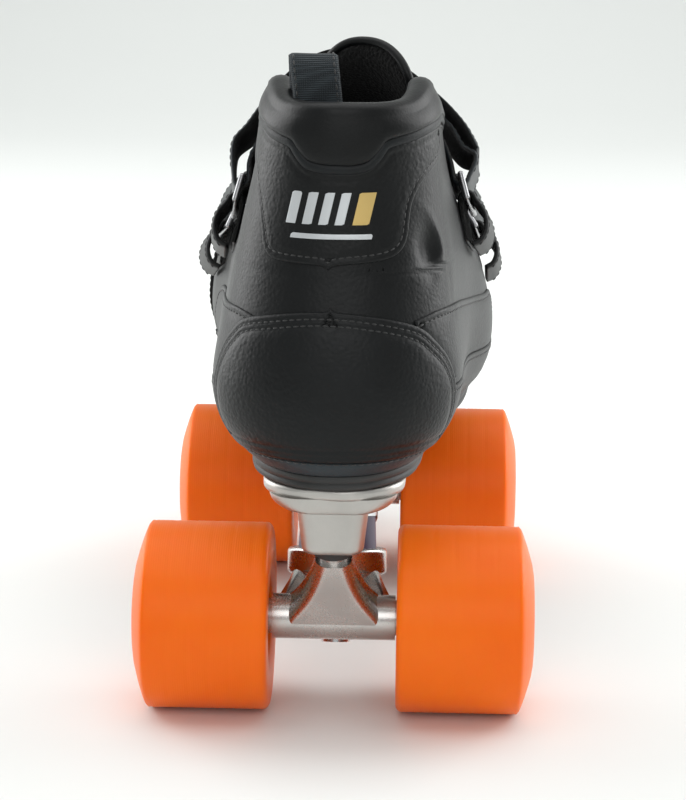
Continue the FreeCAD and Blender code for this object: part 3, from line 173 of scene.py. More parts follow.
def at_angle(theta, z, off=0.0):
    """A point of the boot at an angle round it (0 at the heel, + to the outer side) and a height."""
    theta, z = np.broadcast_arrays(np.asarray(theta, float), np.asarray(z, float))
    p = bilinear(GRID, (z - Z0) / DZ, angle_index(theta))
    d = 0.01
    a = bilinear(GRID, (z - Z0) / DZ, angle_index(np.clip(theta + d, -math.pi, math.pi)))
    b = bilinear(GRID, (z - Z0) / DZ, angle_index(np.clip(theta - d, -math.pi, math.pi)))
    c = bilinear(GRID, (z + 1 - Z0) / DZ, angle_index(theta))
    e = bilinear(GRID, (z - 1 - Z0) / DZ, angle_index(theta))
    return p + unit(np.cross(a - b, c - e)) * np.asarray(off, float)[..., None]


def angle_of_arc(u, z):
    """The angle at a distance u round the boot from the heel's middle line."""
    u, z = np.broadcast_arrays(np.asarray(u, float), np.asarray(z, float))
    k = np.clip(np.round((z - Z0) / DZ).astype(int), 0, NZ - 1)
    out = np.zeros(u.shape)
    for row in np.unique(k):
        pick = k == row
        out[pick] = np.interp(u[pick], ARC[row], THETAS)
    return out


def chart(u, z, off):
    """A point from a distance round the boot and a height."""
    z = np.asarray(z, float)
    low = np.floor((z - Z0) / DZ) * DZ + Z0
    t = (z - low) / DZ
    theta = angle_of_arc(u, low) * (1 - t) + angle_of_arc(u, low + DZ) * t
    return at_angle(theta, z, off)


def arc_of_x(x, z):
    """The distance round the boot of a place on its back, from its x."""
    k = int(round((z - Z0) / DZ))
    m = NA // 2
    s = slice(m - 330, m + 331)
    return float(np.interp(x, GRID[k, s, 0], ARC[k, s]))


def arc_of_y(y, z, side):
    """The distance round the boot of a place on its side, from its y."""
    k = int(round((z - Z0) / DZ))
    m = NA // 2
    s = slice(m, NA) if side > 0 else slice(m, None, -1)
    return float(np.interp(y, GRID[k, s, 1], ARC[k, s]))


def along(ahead):
    return HEEL + ahead


# ------------------------------------------------------------------ mesh helpers
def make(name, verts, faces, material, body="skate", replaces=(), second=None, picks=None):
    mesh = bpy.data.meshes.new(name)
    mesh.from_pydata([tuple(v) for v in np.asarray(verts, float) * MM], [], [tuple(f) for f in faces])
    mesh.materials.append(material)
    if second is not None:
        mesh.materials.append(second)
        mesh.polygons.foreach_set("material_index", np.asarray(picks, dtype=np.int32))
    mesh.polygons.foreach_set("use_smooth", np.ones(len(mesh.polygons), dtype=bool))
    mesh.update()
    obj = bpy.data.objects.new(name, mesh)
    bpy.context.scene.collection.objects.link(obj)
    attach(obj, body)
    if replaces:
        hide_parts(*replaces)
    return obj


def tidy_mesh(obj, distance):
    bm = bmesh.new()
    bm.from_mesh(obj.data)
    bmesh.ops.remove_doubles(bm, verts=bm.verts, dist=distance * MM)
    bmesh.ops.recalc_face_normals(bm, faces=bm.faces)
    bm.to_mesh(obj.data)
    bm.free()
    obj.data.update()


def grid_faces(rows, cols, wrap_cols=False, wrap_rows=False, flip=False):
    faces = []
    for i in range(rows if wrap_rows else rows - 1):
        for j in range(cols if wrap_cols else cols - 1):
            a, b = i * cols + j, i * cols + (j + 1) % cols
            c, d = ((i + 1) % rows) * cols + (j + 1) % cols, ((i + 1) % rows) * cols + j
            faces.append((d, c, b, a) if flip else (a, b, c, d))
    return faces


def subdivide(obj):
    mod = obj.modifiers.new("smooth", "SUBSURF")
    mod.levels = mod.render_levels = 1


def resample(points, step, closed=False):
    """Evenly spaced points on a polyline."""
    pts = np.asarray(points, float)
    if closed:
        pts = np.vstack([pts, pts[:1]])
    seg = np.linalg.norm(np.diff(pts, axis=0), axis=1)
    s = np.concatenate(([0], np.cumsum(seg)))
    n = max(int(round(s[-1] / step)), 2)
    t = np.linspace(0, s[-1], n + 1)
    out = np.stack([np.interp(t, s, pts[:, k]) for k in range(pts.shape[1])], axis=1)
    return out[:-1] if closed else out


def rounded(points, rounds):
    """Corner cutting of an open line, which keeps its two ends."""
    pts = [np.asarray(p, float) for p in points]
    for _ in range(rounds):
        last = len(pts) - 2
        new = []
        for i, (a, b) in enumerate(zip(pts, pts[1:])):
            new.append(a if i == 0 else a * 0.75 + b * 0.25)
            new.append(b if i == last else a * 0.25 + b * 0.75)
        pts = new
    return np.array(pts)


STITCH_SIDES = 8
STITCH_PROFILE = ((-1.0, 0.35), (-0.82, 0.8), (-0.4, 1.0), (0.4, 1.0), (0.82, 0.8), (1.0, 0.35))


def stitch_mesh(points, directions, normals, length, radius):
    """Short rounded threads, each lying along its direction and slightly sunk."""
    verts, faces = [], []
    m, rings = STITCH_SIDES, len(STITCH_PROFILE)
    for p, t, n in zip(points, directions, normals):
        t = t / max(np.linalg.norm(t), 1e-9)
        n = n - t * np.dot(n, t)
        n = n / max(np.linalg.norm(n), 1e-9)
        b = np.cross(t, n)
        base = len(verts)
        for s, r in STITCH_PROFILE:
            dip = -0.35 * radius * s * s
            for k in range(m):
                a = 2 * math.pi * k / m
                verts.append(p + t * s * length / 2 + n * (dip + math.sin(a) * r * radius * 0.8)
                             + b * math.cos(a) * r * radius)
        faces.extend(tuple(base + i for i in face) for face in grid_faces(rings, m, wrap_cols=True))
        faces.append(tuple(base + k for k in reversed(range(m))))
        faces.append(tuple(base + (rings - 1) * m + k for k in range(m)))
    return verts, faces


class Threads:
    """Collects stitches into one object per name."""

    def __init__(self):
        self.data = {}

    def add(self, name, points, normals, spacing=2.5, length=1.75, radius=0.3, closed=False):
        pts = np.asarray(points, float)
        both = resample(np.hstack([pts, normals]), spacing, closed)
        pts, nor = both[:, :3], both[:, 3:]
        if closed:
            tan = np.roll(pts, -1, axis=0) - np.roll(pts, 1, axis=0)
        else:
            tan = np.gradient(pts, axis=0)
        v, f = stitch_mesh(pts, tan, nor, length, radius)
        store = self.data.setdefault(name, ([], []))
        base = len(store[0])
        store[0].extend(v)
        store[1].extend([tuple(i + base for i in g) for g in f])

    def on_chart(self, name, path_uz, off, **kw):
        path = resample(path_uz, 0.8, kw.get("closed", False))
        p = chart(path[:, 0], path[:, 1], np.full(len(path), off))
        q = chart(path[:, 0], path[:, 1], np.full(len(path), off + 1.0))
        self.add(name, p, q - p, **kw)


threads = Threads()
FINE_STITCH = {"spacing": 2.4, "length": 1.75, "radius": 0.3}


def inward(path, distance, closed=True):
    """A 2-D outline moved to its left-hand side."""
    p = np.asarray(path, float)
    if closed:
        t = np.roll(p, -1, axis=0) - np.roll(p, 1, axis=0)
    else:
        t = np.gradient(p, axis=0)
    t = unit(t)
    return p + np.stack([-t[:, 1], t[:, 0]], axis=1) * distance


def patch(name, outline, thick, material, base, edge, step, dips=(), swell=0.0, replaces=()):
    """A leather panel laid on the boot: its outline is (distance round, height), either way round."""
    ring = resample(outline, 1.1, True)
    area = 0.5 * np.sum(ring[:, 0] * np.roll(ring[:, 1], -1) - np.roll(ring[:, 0], -1) * ring[:, 1])
    if area < 0:
        ring = ring[::-1]
    points, heights, edges = [], [], []

    def put_ring(distance, height):
        start = len(points)
        moved = inward(ring, distance)
        for q in moved:
            points.append(Vector((q[0], q[1])))
            heights.append(height)
        n = len(moved)
        for i in range(n):
            edges.append((start + i, start + (i + 1) % n))

    put_ring(0.0, -0.35)
    for d, h in ((0.05 * edge, 0.35), (0.3 * edge, 0.75), (0.65 * edge, 0.95), (edge, 1.0)):
        put_ring(d, h * thick)
    for d, depth, width in dips:
        put_ring(d - width, thick)
        put_ring(d, thick - depth)
        put_ring(d + width, thick)
    far = max([edge] + [d + w for d, _, w in dips]) + step * 0.55
    lo, hi = ring.min(axis=0), ring.max(axis=0)
    us, zs = np.meshgrid(np.arange(lo[0], hi[0], step), np.arange(lo[1], hi[1], step))
    cand = np.stack([us.ravel(), zs.ravel()], axis=1)
    cand = cand[inside_polygon(ring, cand)]
    dist = np.min(np.linalg.norm(cand[:, None, :] - ring[None, :, :], axis=2), axis=1)
    cand, dist = cand[dist > far], dist[dist > far]
    reach = max(dist.max(), 1e-6) if len(dist) else 1.0
    for q, d in zip(cand, dist):
        points.append(Vector((q[0], q[1])))
        heights.append(thick + swell * (1 - (1 - min(d / reach, 1)) ** 2))
    result = delaunay_2d_cdt(points, edges, [], 1, 1e-5)
    flat = np.array([(p.x, p.y) for p in result[0]])
    source = [o[0] if o else 0 for o in result[3]]
    height = np.array([heights[i] for i in source])
    verts = chart(flat[:, 0], flat[:, 1], base + height)
    make(name, verts, result[2], material, replaces=replaces)


def inside_polygon(ring, pts):
    x, y = pts[:, 0], pts[:, 1]
    inside = np.zeros(len(pts), bool)
    x1, y1 = ring[:, 0], ring[:, 1]
    x2, y2 = np.roll(x1, -1), np.roll(y1, -1)
    for a, b, c, d in zip(x1, y1, x2, y2):
        if b == d:
            continue
        hit = ((b > y) != (d > y)) & (x < (c - a) * (y - b) / (d - b) + a)
        inside ^= hit
    return inside


# ------------------------------------------------------------------ materials
class Nodes:
    """A short way to write a material's node tree."""

    def __init__(self, name):
        self.material = bpy.data.materials.new(name)
        self.material.use_nodes = True
        self.tree = self.material.node_tree
        self.bsdf = self.tree.nodes["Principled BSDF"]
        self.coords = self.tree.nodes.new("ShaderNodeTexCoord").outputs["Object"]

    def node(self, kind, **inputs):
        made = self.tree.nodes.new(kind)
        for key, value in inputs.items():
            name = key.replace("_", " ")
            if hasattr(made, key) and name not in made.inputs:
                setattr(made, key, value)
            elif hasattr(value, "is_output"):
                self.tree.links.new(value, made.inputs[name])
            else:
                made.inputs[name].default_value = value
        return made

    def link(self, output, target):
        self.tree.links.new(output, target)

    def noise(self, scale, detail, rough=0.55):
        made = self.node("ShaderNodeTexNoise", Scale=scale, Detail=detail, Roughness=rough,
                         Vector=self.coords)
        return made.outputs["Fac"]

    def voronoi(self, scale, feature="F1"):
        made = self.node("ShaderNodeTexVoronoi", feature=feature, Scale=scale, Vector=self.coords)
        return made.outputs["Distance"]

    def wave(self, scale, direction, distortion=0.0):
        made = self.node("ShaderNodeTexWave", Scale=scale, Distortion=distortion, Vector=self.coords)
        made.bands_direction = direction
        return made.outputs["Fac"]

    def math(self, operation, a, b):
        made = self.tree.nodes.new("ShaderNodeMath")
        made.operation = operation
        for k, value in enumerate((a, b)):
            if hasattr(value, "is_output"):
                self.link(value, made.inputs[k])
            else:
                made.inputs[k].default_value = value
        return made.outputs[0]

    def ramp(self, fac, stops):
        made = self.tree.nodes.new("ShaderNodeValToRGB")
        self.link(fac, made.inputs[0])
        ramp = made.color_ramp
        while len(ramp.elements) < len(stops):
            ramp.elements.new(0.5)
        for element, (at, color) in zip(ramp.elements, stops):
            element.position = at
            element.color = (*color, 1) if len(color) == 3 else color
        return made.outputs["Color"]

    def color(self, output):
        self.link(output, self.bsdf.inputs["Base Color"])

    def rough(self, fac, low, high):
        made = self.node("ShaderNodeMapRange", To_Min=low, To_Max=high)
        self.link(fac, made.inputs["Value"])
        self.link(made.outputs["Result"], self.bsdf.inputs["Roughness"])

    def bump(self, layers):
        """Bump from (height, strength, distance in mm) layers."""
        last = None
        for height, strength, distance in layers:
            made = self.node("ShaderNodeBump", Strength=strength, Distance=distance * MM)
            self.link(height, made.inputs["Height"])
            if last is not None:
                self.link(last, made.inputs["Normal"])
            last = made.outputs["Normal"]
        self.link(last, self.bsdf.inputs["Normal"])

    def set(self, **values):
        for key, value in values.items():
            self.bsdf.inputs[key.replace("_", " ")].default_value = value
        return self


def gray(v, tint=(1, 1, 1)):
    return tuple(v * t for t in tint)


INK = (0.8, 1.0, 1.15)


def leather(name, dark, light, grain=900.0, depth=0.22, rough=(0.36, 0.5)):
    m = Nodes(name)
    cells = m.voronoi(grain, "SMOOTH_F1")
    fine = m.noise(grain * 2.4, 4.0)
    folds = m.noise(46.0, 5.0, 0.62)
    patchy = m.noise(14.0, 3.0)
    tone = m.math("ADD", m.math("MULTIPLY", folds, 0.5), m.math("MULTIPLY", patchy, 0.5))
    m.color(m.ramp(tone, ((0.3, gray(dark, INK)), (0.7, gray(light, INK)))))
    m.rough(m.math("ADD", m.math("MULTIPLY", fine, 0.5), m.math("MULTIPLY", folds, 0.5)), *rough)
    m.bump(((folds, 0.12, 1.2), (cells, 0.5, depth), (fine, 0.35, depth * 0.45)))
    m.set(Specular_IOR_Level=0.24, Coat_Weight=0.02, Coat_Roughness=0.34, Sheen_Weight=0.02,
          Sheen_Roughness=0.45)
    return m.material


def fabric(name, dark, light, scale, depth, sheen):
    m = Nodes(name)
    a = m.wave(scale, "X")
    b = m.wave(scale, "Z")
    c = m.wave(scale, "Y")
    weave = m.math("MULTIPLY", m.math("MAXIMUM", a, c), b)
    fuzz = m.noise(2600.0, 3.0)
    m.color(m.ramp(m.math("ADD", m.math("MULTIPLY", weave, 0.7), m.math("MULTIPLY", fuzz, 0.3)),
                   ((0.1, gray(dark, INK)), (0.75, gray(light, INK)))))
    m.rough(fuzz, 0.75, 0.95)
    m.bump(((weave, 0.8, depth), (fuzz, 0.5, 0.12)))
    m.set(Specular_IOR_Level=0.25, Sheen_Weight=sheen, Sheen_Roughness=0.5)
    return m.material


def fuzzy(name, dark, light, scale=1500.0):
    m = Nodes(name)
    loops = m.voronoi(scale)
    lumps = m.noise(500.0, 4.0, 0.7)
    m.color(m.ramp(m.math("MULTIPLY", loops, lumps), ((0.05, gray(dark)), (0.5, gray(light)))))
    m.rough(lumps, 0.85, 1.0)
    m.bump(((lumps, 1.0, 0.9), (loops, 1.0, 0.5)))
    m.set(Specular_IOR_Level=0.1, Sheen_Weight=0.06, Sheen_Roughness=0.6)
    return m.material


def metal(name, color, rough, grain, cast=0.0, metallic=1.0):
    m = Nodes(name)
    fine = m.noise(1400.0, 4.0)
    broad = m.noise(60.0, 4.0)
    m.color(m.ramp(broad, ((0.3, tuple(c * 0.86 for c in color)), (0.7, color))))
    m.rough(m.math("ADD", m.math("MULTIPLY", fine, 0.5), m.math("MULTIPLY", broad, 0.5)), *rough)
    layers = [(fine, 0.25, grain)]
    if cast:
        layers.insert(0, (m.noise(420.0, 5.0, 0.6), 0.5, cast))
    m.bump(layers)
    m.set(Metallic=metallic)
    return m.material


def rubber(name, dark, light, rough=(0.5, 0.7), tint=(1, 1, 1), depth=0.1):
    m = Nodes(name)
    fine = m.noise(1800.0, 4.0)
    broad = m.noise(35.0, 4.0)
    m.color(m.ramp(broad, ((0.3, gray(dark, tint)), (0.7, gray(light, tint)))))
    m.rough(fine, *rough)
    m.bump(((fine, 0.4, depth),))
    m.set(Specular_IOR_Level=0.45)
    return m.material


def urethane(name):
    m = Nodes(name)
    lathe = m.wave(420.0, "X", 0.0)
    fine = m.wave(1150.0, "X", 0.4)
    cloud = m.noise(22.0, 3.0)
    specks = m.noise(900.0, 3.0)
    m.color(m.ramp(cloud, ((0.25, (0.9, 0.135, 0.002)), (0.75, (0.95, 0.17, 0.003)))))
    m.rough(m.math("ADD", m.math("MULTIPLY", cloud, 0.5), m.math("MULTIPLY", specks, 0.5)), 0.3, 0.46)
    m.bump(((lathe, 0.35, 0.05), (fine, 0.4, 0.03), (specks, 0.2, 0.03)))
    m.set(Subsurface_Weight=0.3, Subsurface_Radius=(1.0, 0.25, 0.05), Subsurface_Scale=0.004,
          Specular_IOR_Level=0.2)
    return m.material


def thread(name, value):
    m = Nodes(name)
    twist = m.wave(1500.0, "DIAGONAL", 1.0)
    m.color(m.ramp(twist, ((0.2, gray(value * 0.6)), (0.8, gray(value * 1.3)))))
    m.rough(twist, 0.55, 0.75)
    m.bump(((twist, 0.6, 0.08),))
    m.set(Sheen_Weight=0.3)
    return m.material


M_GRAIN = leather("black_grain_leather", 0.001, 0.004)
M_SMOOTH = leather("black_smooth_leather", 0.001, 0.004, grain=1300.0, depth=0.1, rough=(0.36, 0.46))
M_PANEL = leather("black_panel_leather", 0.001, 0.004, grain=800.0, depth=0.3)
M_RAND = leather("rand_leather", 0.016, 0.045, grain=900.0, depth=0.2, rough=(0.42, 0.58))
M_PIPING = leather("piping_leather", 0.004, 0.012, grain=1300.0, depth=0.12, rough=(0.4, 0.55))
M_LINING = fuzzy("lining", 0.002, 0.010, 900.0)
M_MESH = fabric("tongue_mesh", 0.002, 0.008, 330.0, 0.4, sheen=0.0)
M_WEB = fabric("loop_webbing", 0.01, 0.06, 560.0, 0.35, sheen=0.1)
M_STRAP = leather("strap_leather", 0.012, 0.028, grain=1500.0, depth=0.12)
M_LOOPSIDE = fuzzy("strap_loop_side", 0.01, 0.07)
M_HOOKSIDE = fuzzy("strap_hook_side", 0.006, 0.03, 2200.0)
M_THREAD = thread("black_thread", 0.012)
M_SOLE = rubber("sole_rubber", 0.018, 0.035, (0.45, 0.62))
M_TIRE = urethane("orange_urethane")
M_HUB = rubber("hub_nylon", 0.42, 0.5, (0.35, 0.5), (1.0, 0.93, 0.72))
M_PLATE = metal("cast_aluminium", (0.52, 0.5, 0.475), (0.34, 0.5), 0.05, 0.12)
M_HANGER = metal("polished_cast", (0.62, 0.6, 0.58), (0.2, 0.34), 0.04, 0.05)
M_STEEL = metal("zinc_steel", (0.6, 0.61, 0.62), (0.22, 0.36), 0.04)
M_BALL = metal("bearing_steel", (0.7, 0.7, 0.72), (0.08, 0.14), 0.01)
M_WIRE = metal("nickel_wire", (0.36, 0.36, 0.37), (0.22, 0.34), 0.03)
M_CUSHION = rubber("cushion_urethane", 0.05, 0.08, (0.38, 0.5), (0.9, 0.62, 1.35))
M_CUP = rubber("cup_urethane", 0.02, 0.035)
M_STOP = rubber("stopper_rubber", 0.02, 0.04, (0.55, 0.75), depth=0.2)
M_SILVER = metal("silver_print", (0.62, 0.64, 0.66), (0.4, 0.5), 0.05, 0.06, 0.6)
M_GOLD = metal("gold_print", (0.62, 0.44, 0.16), (0.4, 0.5), 0.05, 0.06, 0.6)


def dress(node, material):
    data = bpy.data.objects[node].data
    data.materials.clear()
    data.materials.append(material)


CAD_LOOKS = (
    ("tyre_", M_TIRE), ("hub_", M_HUB), ("bearing_outer", M_STEEL), ("bearing_inner", M_STEEL),
    ("bearing_balls", M_BALL), ("hanger_", M_HANGER), ("axle_", M_STEEL), ("kingpin", M_STEEL),
    ("cushion_retainers", M_STEEL), ("cushion_upper", M_CUSHION), ("cushion_lower", M_CUSHION),
    ("pivot_cup", M_CUP), ("plate", M_PLATE), ("mounting", M_STEEL), ("toe_stop_stem", M_STEEL),
    ("toe_stop_nut", M_STEEL), ("toe_stop_rubber", M_STOP), ("strap_rings", M_WIRE),
    ("outsole", M_SOLE), ("lasting_board", M_LINING), ("footbed", M_LINING),
)
for node in frame["nodes"]:
    for start, look in CAD_LOOKS:
        if node.startswith(start):
            dress(node, look)
            break


# ------------------------------------------------------------------ boot lines
def side_line(points):
    return np.array([(along(a), UPPER_Z + h) for a, h in points])


COLLAR_TOP = side_line(((-10, 116.4), (6, 116.6), (14, 116.2), (24, 116.6), (34, 118.6), (44, 120.6),
                        (50, 120.8), (57, 118.6), (70, 113.0), (90, 106.0), (112, 99.5), (126, 93.0),
                        (150, 80.0)))
SLOT_X, SLOT_HALF, SLOT_END = 3.0, 17.0, along(196.0)


def theta_of_x(x, z):
    return float(np.interp(arc_of_x(x, z), ARC[int(round(z - Z0))], THETAS))


def theta_of_y(y, z, side):
    return float(np.interp(arc_of_y(y, z, side), ARC[int(round(z - Z0))], THETAS))


def seam_table():
    """The collar seam: a flat-bottomed dip at the back, then a gentle climb to the ankle and down."""
    back = ((-21.5, 107.3), (-16.5, 105.6), (-13.6, 104.6), (-11.5, 102.0), (-8.5, 99.0), (-4.0, 97.8),
            (0.0, 97.6), (5.0, 97.6), (9.5, 98.8), (12.8, 101.8), (15.2, 104.8), (18.5, 105.9), (24.0, 107.0))
    rows = [(theta_of_x(x, 190), UPPER_Z + h) for x, h in back]
    front = ((30, 108.4), (48, 109.4), (66, 107.0), (84, 101.0), (104, 93.0), (118, 86.0), (150, 74.0))
    for side in (1, -1):
        rows += [(theta_of_y(along(a), 190 if a < 90 else 180, side), UPPER_Z + h) for a, h in front]
    rows.sort()
    return np.array(rows)


SEAM = seam_table()


def seam_z(theta):
    return hermite(SEAM[:, 0], SEAM[:, 1], theta)


def slot_half(y):
    """Half width of the throat at y, 0 beyond its toe end."""
    centre = SLOT_END - SLOT_HALF
    past = np.clip(y - centre, 0, SLOT_HALF)
    return np.where(y > SLOT_END, 0.0, np.sqrt(np.maximum(SLOT_HALF ** 2 - past ** 2, 0)))


def slot_limits():
    """For each level, the angles where the throat's two edges lie."""
    limits = np.zeros((NZ, 2))
    for k in range(NZ):
        x, y = GRID[k, :, 0], GRID[k, :, 1]
        open_ = (np.abs(x - SLOT_X) < slot_half(y)) & (y > along(58))
        right = open_ & (THETAS > math.pi / 2)
        left = open_ & (THETAS < -math.pi / 2)
        limits[k, 0] = THETAS[right].min() if right.any() else math.pi
        limits[k, 1] = THETAS[left].max() if left.any() else -math.pi
    for c in (0, 1):
        for _ in range(2):
            limits[1:-1, c] = (limits[:-2, c] + 2 * limits[1:-1, c] + limits[2:, c]) / 4
    return limits


LIMITS = slot_limits()


def limit(z, column):
    return np.interp(z, Z0 + DZ * np.arange(NZ), LIMITS[:, column])


def between_limits(c, z):
    a, b = limit(z, 0), limit(z, 1)
    return a + (b - a) * c


def conform(c, t, low):
    """Angles and heights of a grid whose sides follow the throat and whose top follows the collar seam.
    c runs from the outer throat edge (0) round the heel to the inner one (1)."""
    top = np.full(c.shape, 190.0)
    for _ in range(30):
        top = top * 0.7 + 0.3 * seam_z(between_limits(c, top))
    z = low + (top - low) * t
    return between_limits(c, z), z


def column_spread(n):
    """Column places, closer together at the heel."""
    s = np.linspace(-1, 1, n)
    return (1 + 0.72 * s + 0.28 * s ** 3) / 2


# ------------------------------------------------------------------ the upper
def crease(theta, z):
    """A soft hollow at the outer ankle with a fold beside it."""
    p = at_angle(theta, z)
    dy, dz = p[..., 1] - along(23.6), p[..., 2] - UPPER_Z - 70.5
    outer = p[..., 0] > 0
    hollow = -2.2 * np.exp(-(dy / 4.2) ** 2 - ((dz + 1.5) / 7.0) ** 2)
    fold = 1.5 * np.exp(-((dy - 5.7 + 0.033 * dz * dz) / 2.3) ** 2 - ((dz + 2.0) / 9.0) ** 2)
    inner = -0.9 * np.exp(-((p[..., 1] - along(74)) / 12.0) ** 2 - ((p[..., 2] - 163) / 12.0) ** 2)
    return np.where(outer, hollow + fold, inner)


def build_upper():
    cols, rows = 401, 96
    c, t = np.meshgrid(column_spread(cols), np.linspace(0, 1, rows))
    theta, z = conform(c, t, UPPER_Z + 0.3)
    verts = at_angle(theta, z, crease(theta, z)).reshape(-1, 3)
    obj = make("boot_upper", verts, grid_faces(rows, cols), M_GRAIN,
               replaces=("upper_shell",))
    tidy_mesh(obj, 0.05)
    obj.data.materials.append(M_LINING)
    mod = obj.modifiers.new("wall", "SOLIDIFY")
    mod.thickness = (WALL - 0.4) * MM
    mod.offset = -1
    mod.material_offset = 1
    mod.material_offset_rim = 1


build_upper()


def build_collar():
    """The padded collar: outside from the seam to the rim, over it, and down the inside."""
    cols = 221
    c = column_spread(cols)
    theta_seam = between_limits(c, 188.0)
    rows = []
    thick, radius = 7.5, 3.6
    for t in np.concatenate((np.linspace(0, 0.12, 5), np.linspace(0.2, 1, 12))):
        theta, z = theta_seam, seam_z(theta_seam)
        for _ in range(10):
            top = hermite(COLLAR_TOP[:, 0], COLLAR_TOP[:, 1], at_angle(theta, z)[..., 1]) - radius
            goal = seam_z(theta) - 0.6 + (top - seam_z(theta) + 0.6) * t
            z = z * 0.3 + goal * 0.7
            theta = between_limits(c, z)
        puff = 1.0 * min(t / 0.14, 1) ** 0.5 + 0.5 * math.sin(math.pi * min(t, 1))
        rows.append((theta, z, np.full(cols, 0.15 + puff - 2.6 * max(min(t, 1) - 0.1, 0) ** 1.5)))
    theta, z, off = rows[-1]
    for k in range(1, 9):
        angle = math.pi * k / 8
        rows.append((theta, z + radius * math.sin(angle), off[0] - (thick / 2 + 0.5) * (1 - math.cos(angle))))
    inner_off = rows[-1][2]
    for k in range(1, 9):
        rows.append((theta, z - 4.2 * k, inner_off - 0.9 * math.sin(math.pi * k / 8) + 0.25 * k))
    pts = []
    for theta_r, z_r, off_r in rows:
        zz = np.clip(z_r, Z0 + 2, Z0 + NZ - 4)
        p = at_angle(theta_r, np.minimum(zz, SHAPE_TOP), np.broadcast_to(off_r, theta_r.shape))
        p[:, 2] = z_r
        pts.append(p)
    verts = np.concatenate(pts)
    faces = grid_faces(len(rows), cols)
    outer_count = 5 + 12 + 6
    picks = [0 if i // (cols - 1) < outer_count else 1 for i in range(len(faces))]
    for j in (0, cols - 1):
        rim = [i * cols + j for i in range(len(rows))]
        faces.append(tuple(rim if j == 0 else rim[::-1]))
        picks.append(0)
    obj = make("collar_padding", verts, faces, M_SMOOTH, replaces=("collar_pad",),
               second=M_LINING, picks=picks)


build_collar()


def tube_along(name, path, radius, material, ups, flat=1.0, sides=10):
    """A bead along a path of points in mm, flattened towards ups."""
    path = np.asarray(path, float)
    tan = tangents(path)
    ups = np.broadcast_to(np.asarray(ups, float), path.shape)
    u = unit(ups - tan * np.sum(ups * tan, axis=1, keepdims=True))
    v = np.cross(tan, u)
    a = np.linspace(0, 2 * math.pi, sides, endpoint=False)
    ring = (path[:, None, :] + u[:, None, :] * (np.sin(a)[None, :, None] * radius * flat)
            + v[:, None, :] * (np.cos(a)[None, :, None] * radius))
    faces = grid_faces(len(path), sides, wrap_cols=True)
    faces.append(tuple(reversed(range(sides))))
    faces.append(tuple((len(path) - 1) * sides + k for k in range(sides)))
    make(name, ring.reshape(-1, 3), faces, material)


def seam_path(drop, off):
    """A line below the collar seam, and the boot's outward directions along it."""
    reach, count = 0.985, 420
    a, b = SEAM[0, 0] * reach, SEAM[-1, 0] * reach
    a, b = max(a, float(limit(186.0, 1))), min(b, float(limit(186.0, 0)))
    theta = np.linspace(a, b, count)
    z = seam_z(theta) - drop
    return at_angle(theta, z, off), at_angle(theta, z, off + 1.0) - at_angle(theta, z, off)


p, n = seam_path(1.6, 0.25)
tube_along("collar_piping", p, 1.55, M_PIPING, flat=0.55, ups=n)
p, n = seam_path(4.4, 0.12)
threads.add("collar_stitches", p, n, spacing=2.3, length=1.7, radius=0.34)


def rz(x, h):
    """A place on the boot's back, from its x and its height above the sole."""
    z = UPPER_Z + h
    return arc_of_x(x, z), z


def sz(ahead, h, side):
    """A place on the boot's side, from its distance ahead of the heel and its height above the sole."""
    z = UPPER_Z + h
    return arc_of_y(along(ahead), z, side), z


# ------------------------------------------------------------------ back panel
def notch(u, z, size, up):
    return [(u + size * 1.5, z), (u + size * 0.6, z + up * size * 0.35), (u, z + up * size),
            (u - size * 0.6, z + up * size * 0.35), (u - size * 1.5, z)]


def build_back_panel():
    left = rounded([rz(-25.4, 92.4), rz(-24.0, 84.0), rz(-22.9, 75.3), rz(-22.6, 71.0), rz(-20.6, 67.6),
                    rz(-15.5, 66.9), rz(-6.0, 66.6)], 3)
    bump = notch(*rz(-2.0, 66.5), 1.4, -1)[::-1]
    right = rounded([rz(4.0, 66.9), rz(13.9, 67.6), rz(19.4, 69.3), rz(22.1, 73.5), rz(22.6, 81.3),
                     rz(23.4, 86.0), rz(26.2, 91.5), sz(36.3, 96.2, 1), sz(40.0, 100.5, 1)], 3)
    theta = np.linspace(theta_of_y(along(41.0), 190, 1), theta_of_x(-26.4, 192), 60)
    top_z = seam_z(theta) - 2.6
    top = [(float(np.interp(th, THETAS, ARC[int(round(zz - Z0))])), zz) for th, zz in zip(theta, top_z)]
    outline = list(left) + bump + list(right) + top
    outline = [q for i, q in enumerate(outline) if i == 0 or np.hypot(*(np.array(q) - outline[i - 1])) > 0.3]
    patch("back_panel_leather", outline, 0.75, M_PANEL, base=0.12, edge=0.9,
          dips=((2.3, 0.22, 0.6),), step=1.8, replaces=("back_panel",))
    low = np.array(list(left) + [(q[0], q[1]) for q in bump[1:-1]] + list(right))
    threads.on_chart("panel_stitches", inward(low, 2.3, closed=False), 0.66, **FINE_STITCH)


build_back_panel()


def plate_print(name, outline, material):
    patch(name, outline, 0.12, material, base=0.93, edge=0.25, step=2.2)


def chevron(x, low, high, width, lean):
    return [rz(x - width / 2, low), rz(x + width / 2, low), rz(x + width / 2 + lean, high),
            rz(x - width / 2 + lean, high)]


for i, x in enumerate((-13.5, -8.6, -3.7, 1.2)):
    plate_print("silver_stripe_%d" % (i + 1), chevron(x, 79.0, 89.0, 2.9, 2.2), M_SILVER)
plate_print("gold_stripe", chevron(7.6, 79.0, 89.0, 5.0, 2.2), M_GOLD)
plate_print("silver_underline", [rz(-13.6, 74.6), rz(11.0, 74.6), rz(11.4, 76.2), rz(-13.2, 76.2)], M_SILVER)


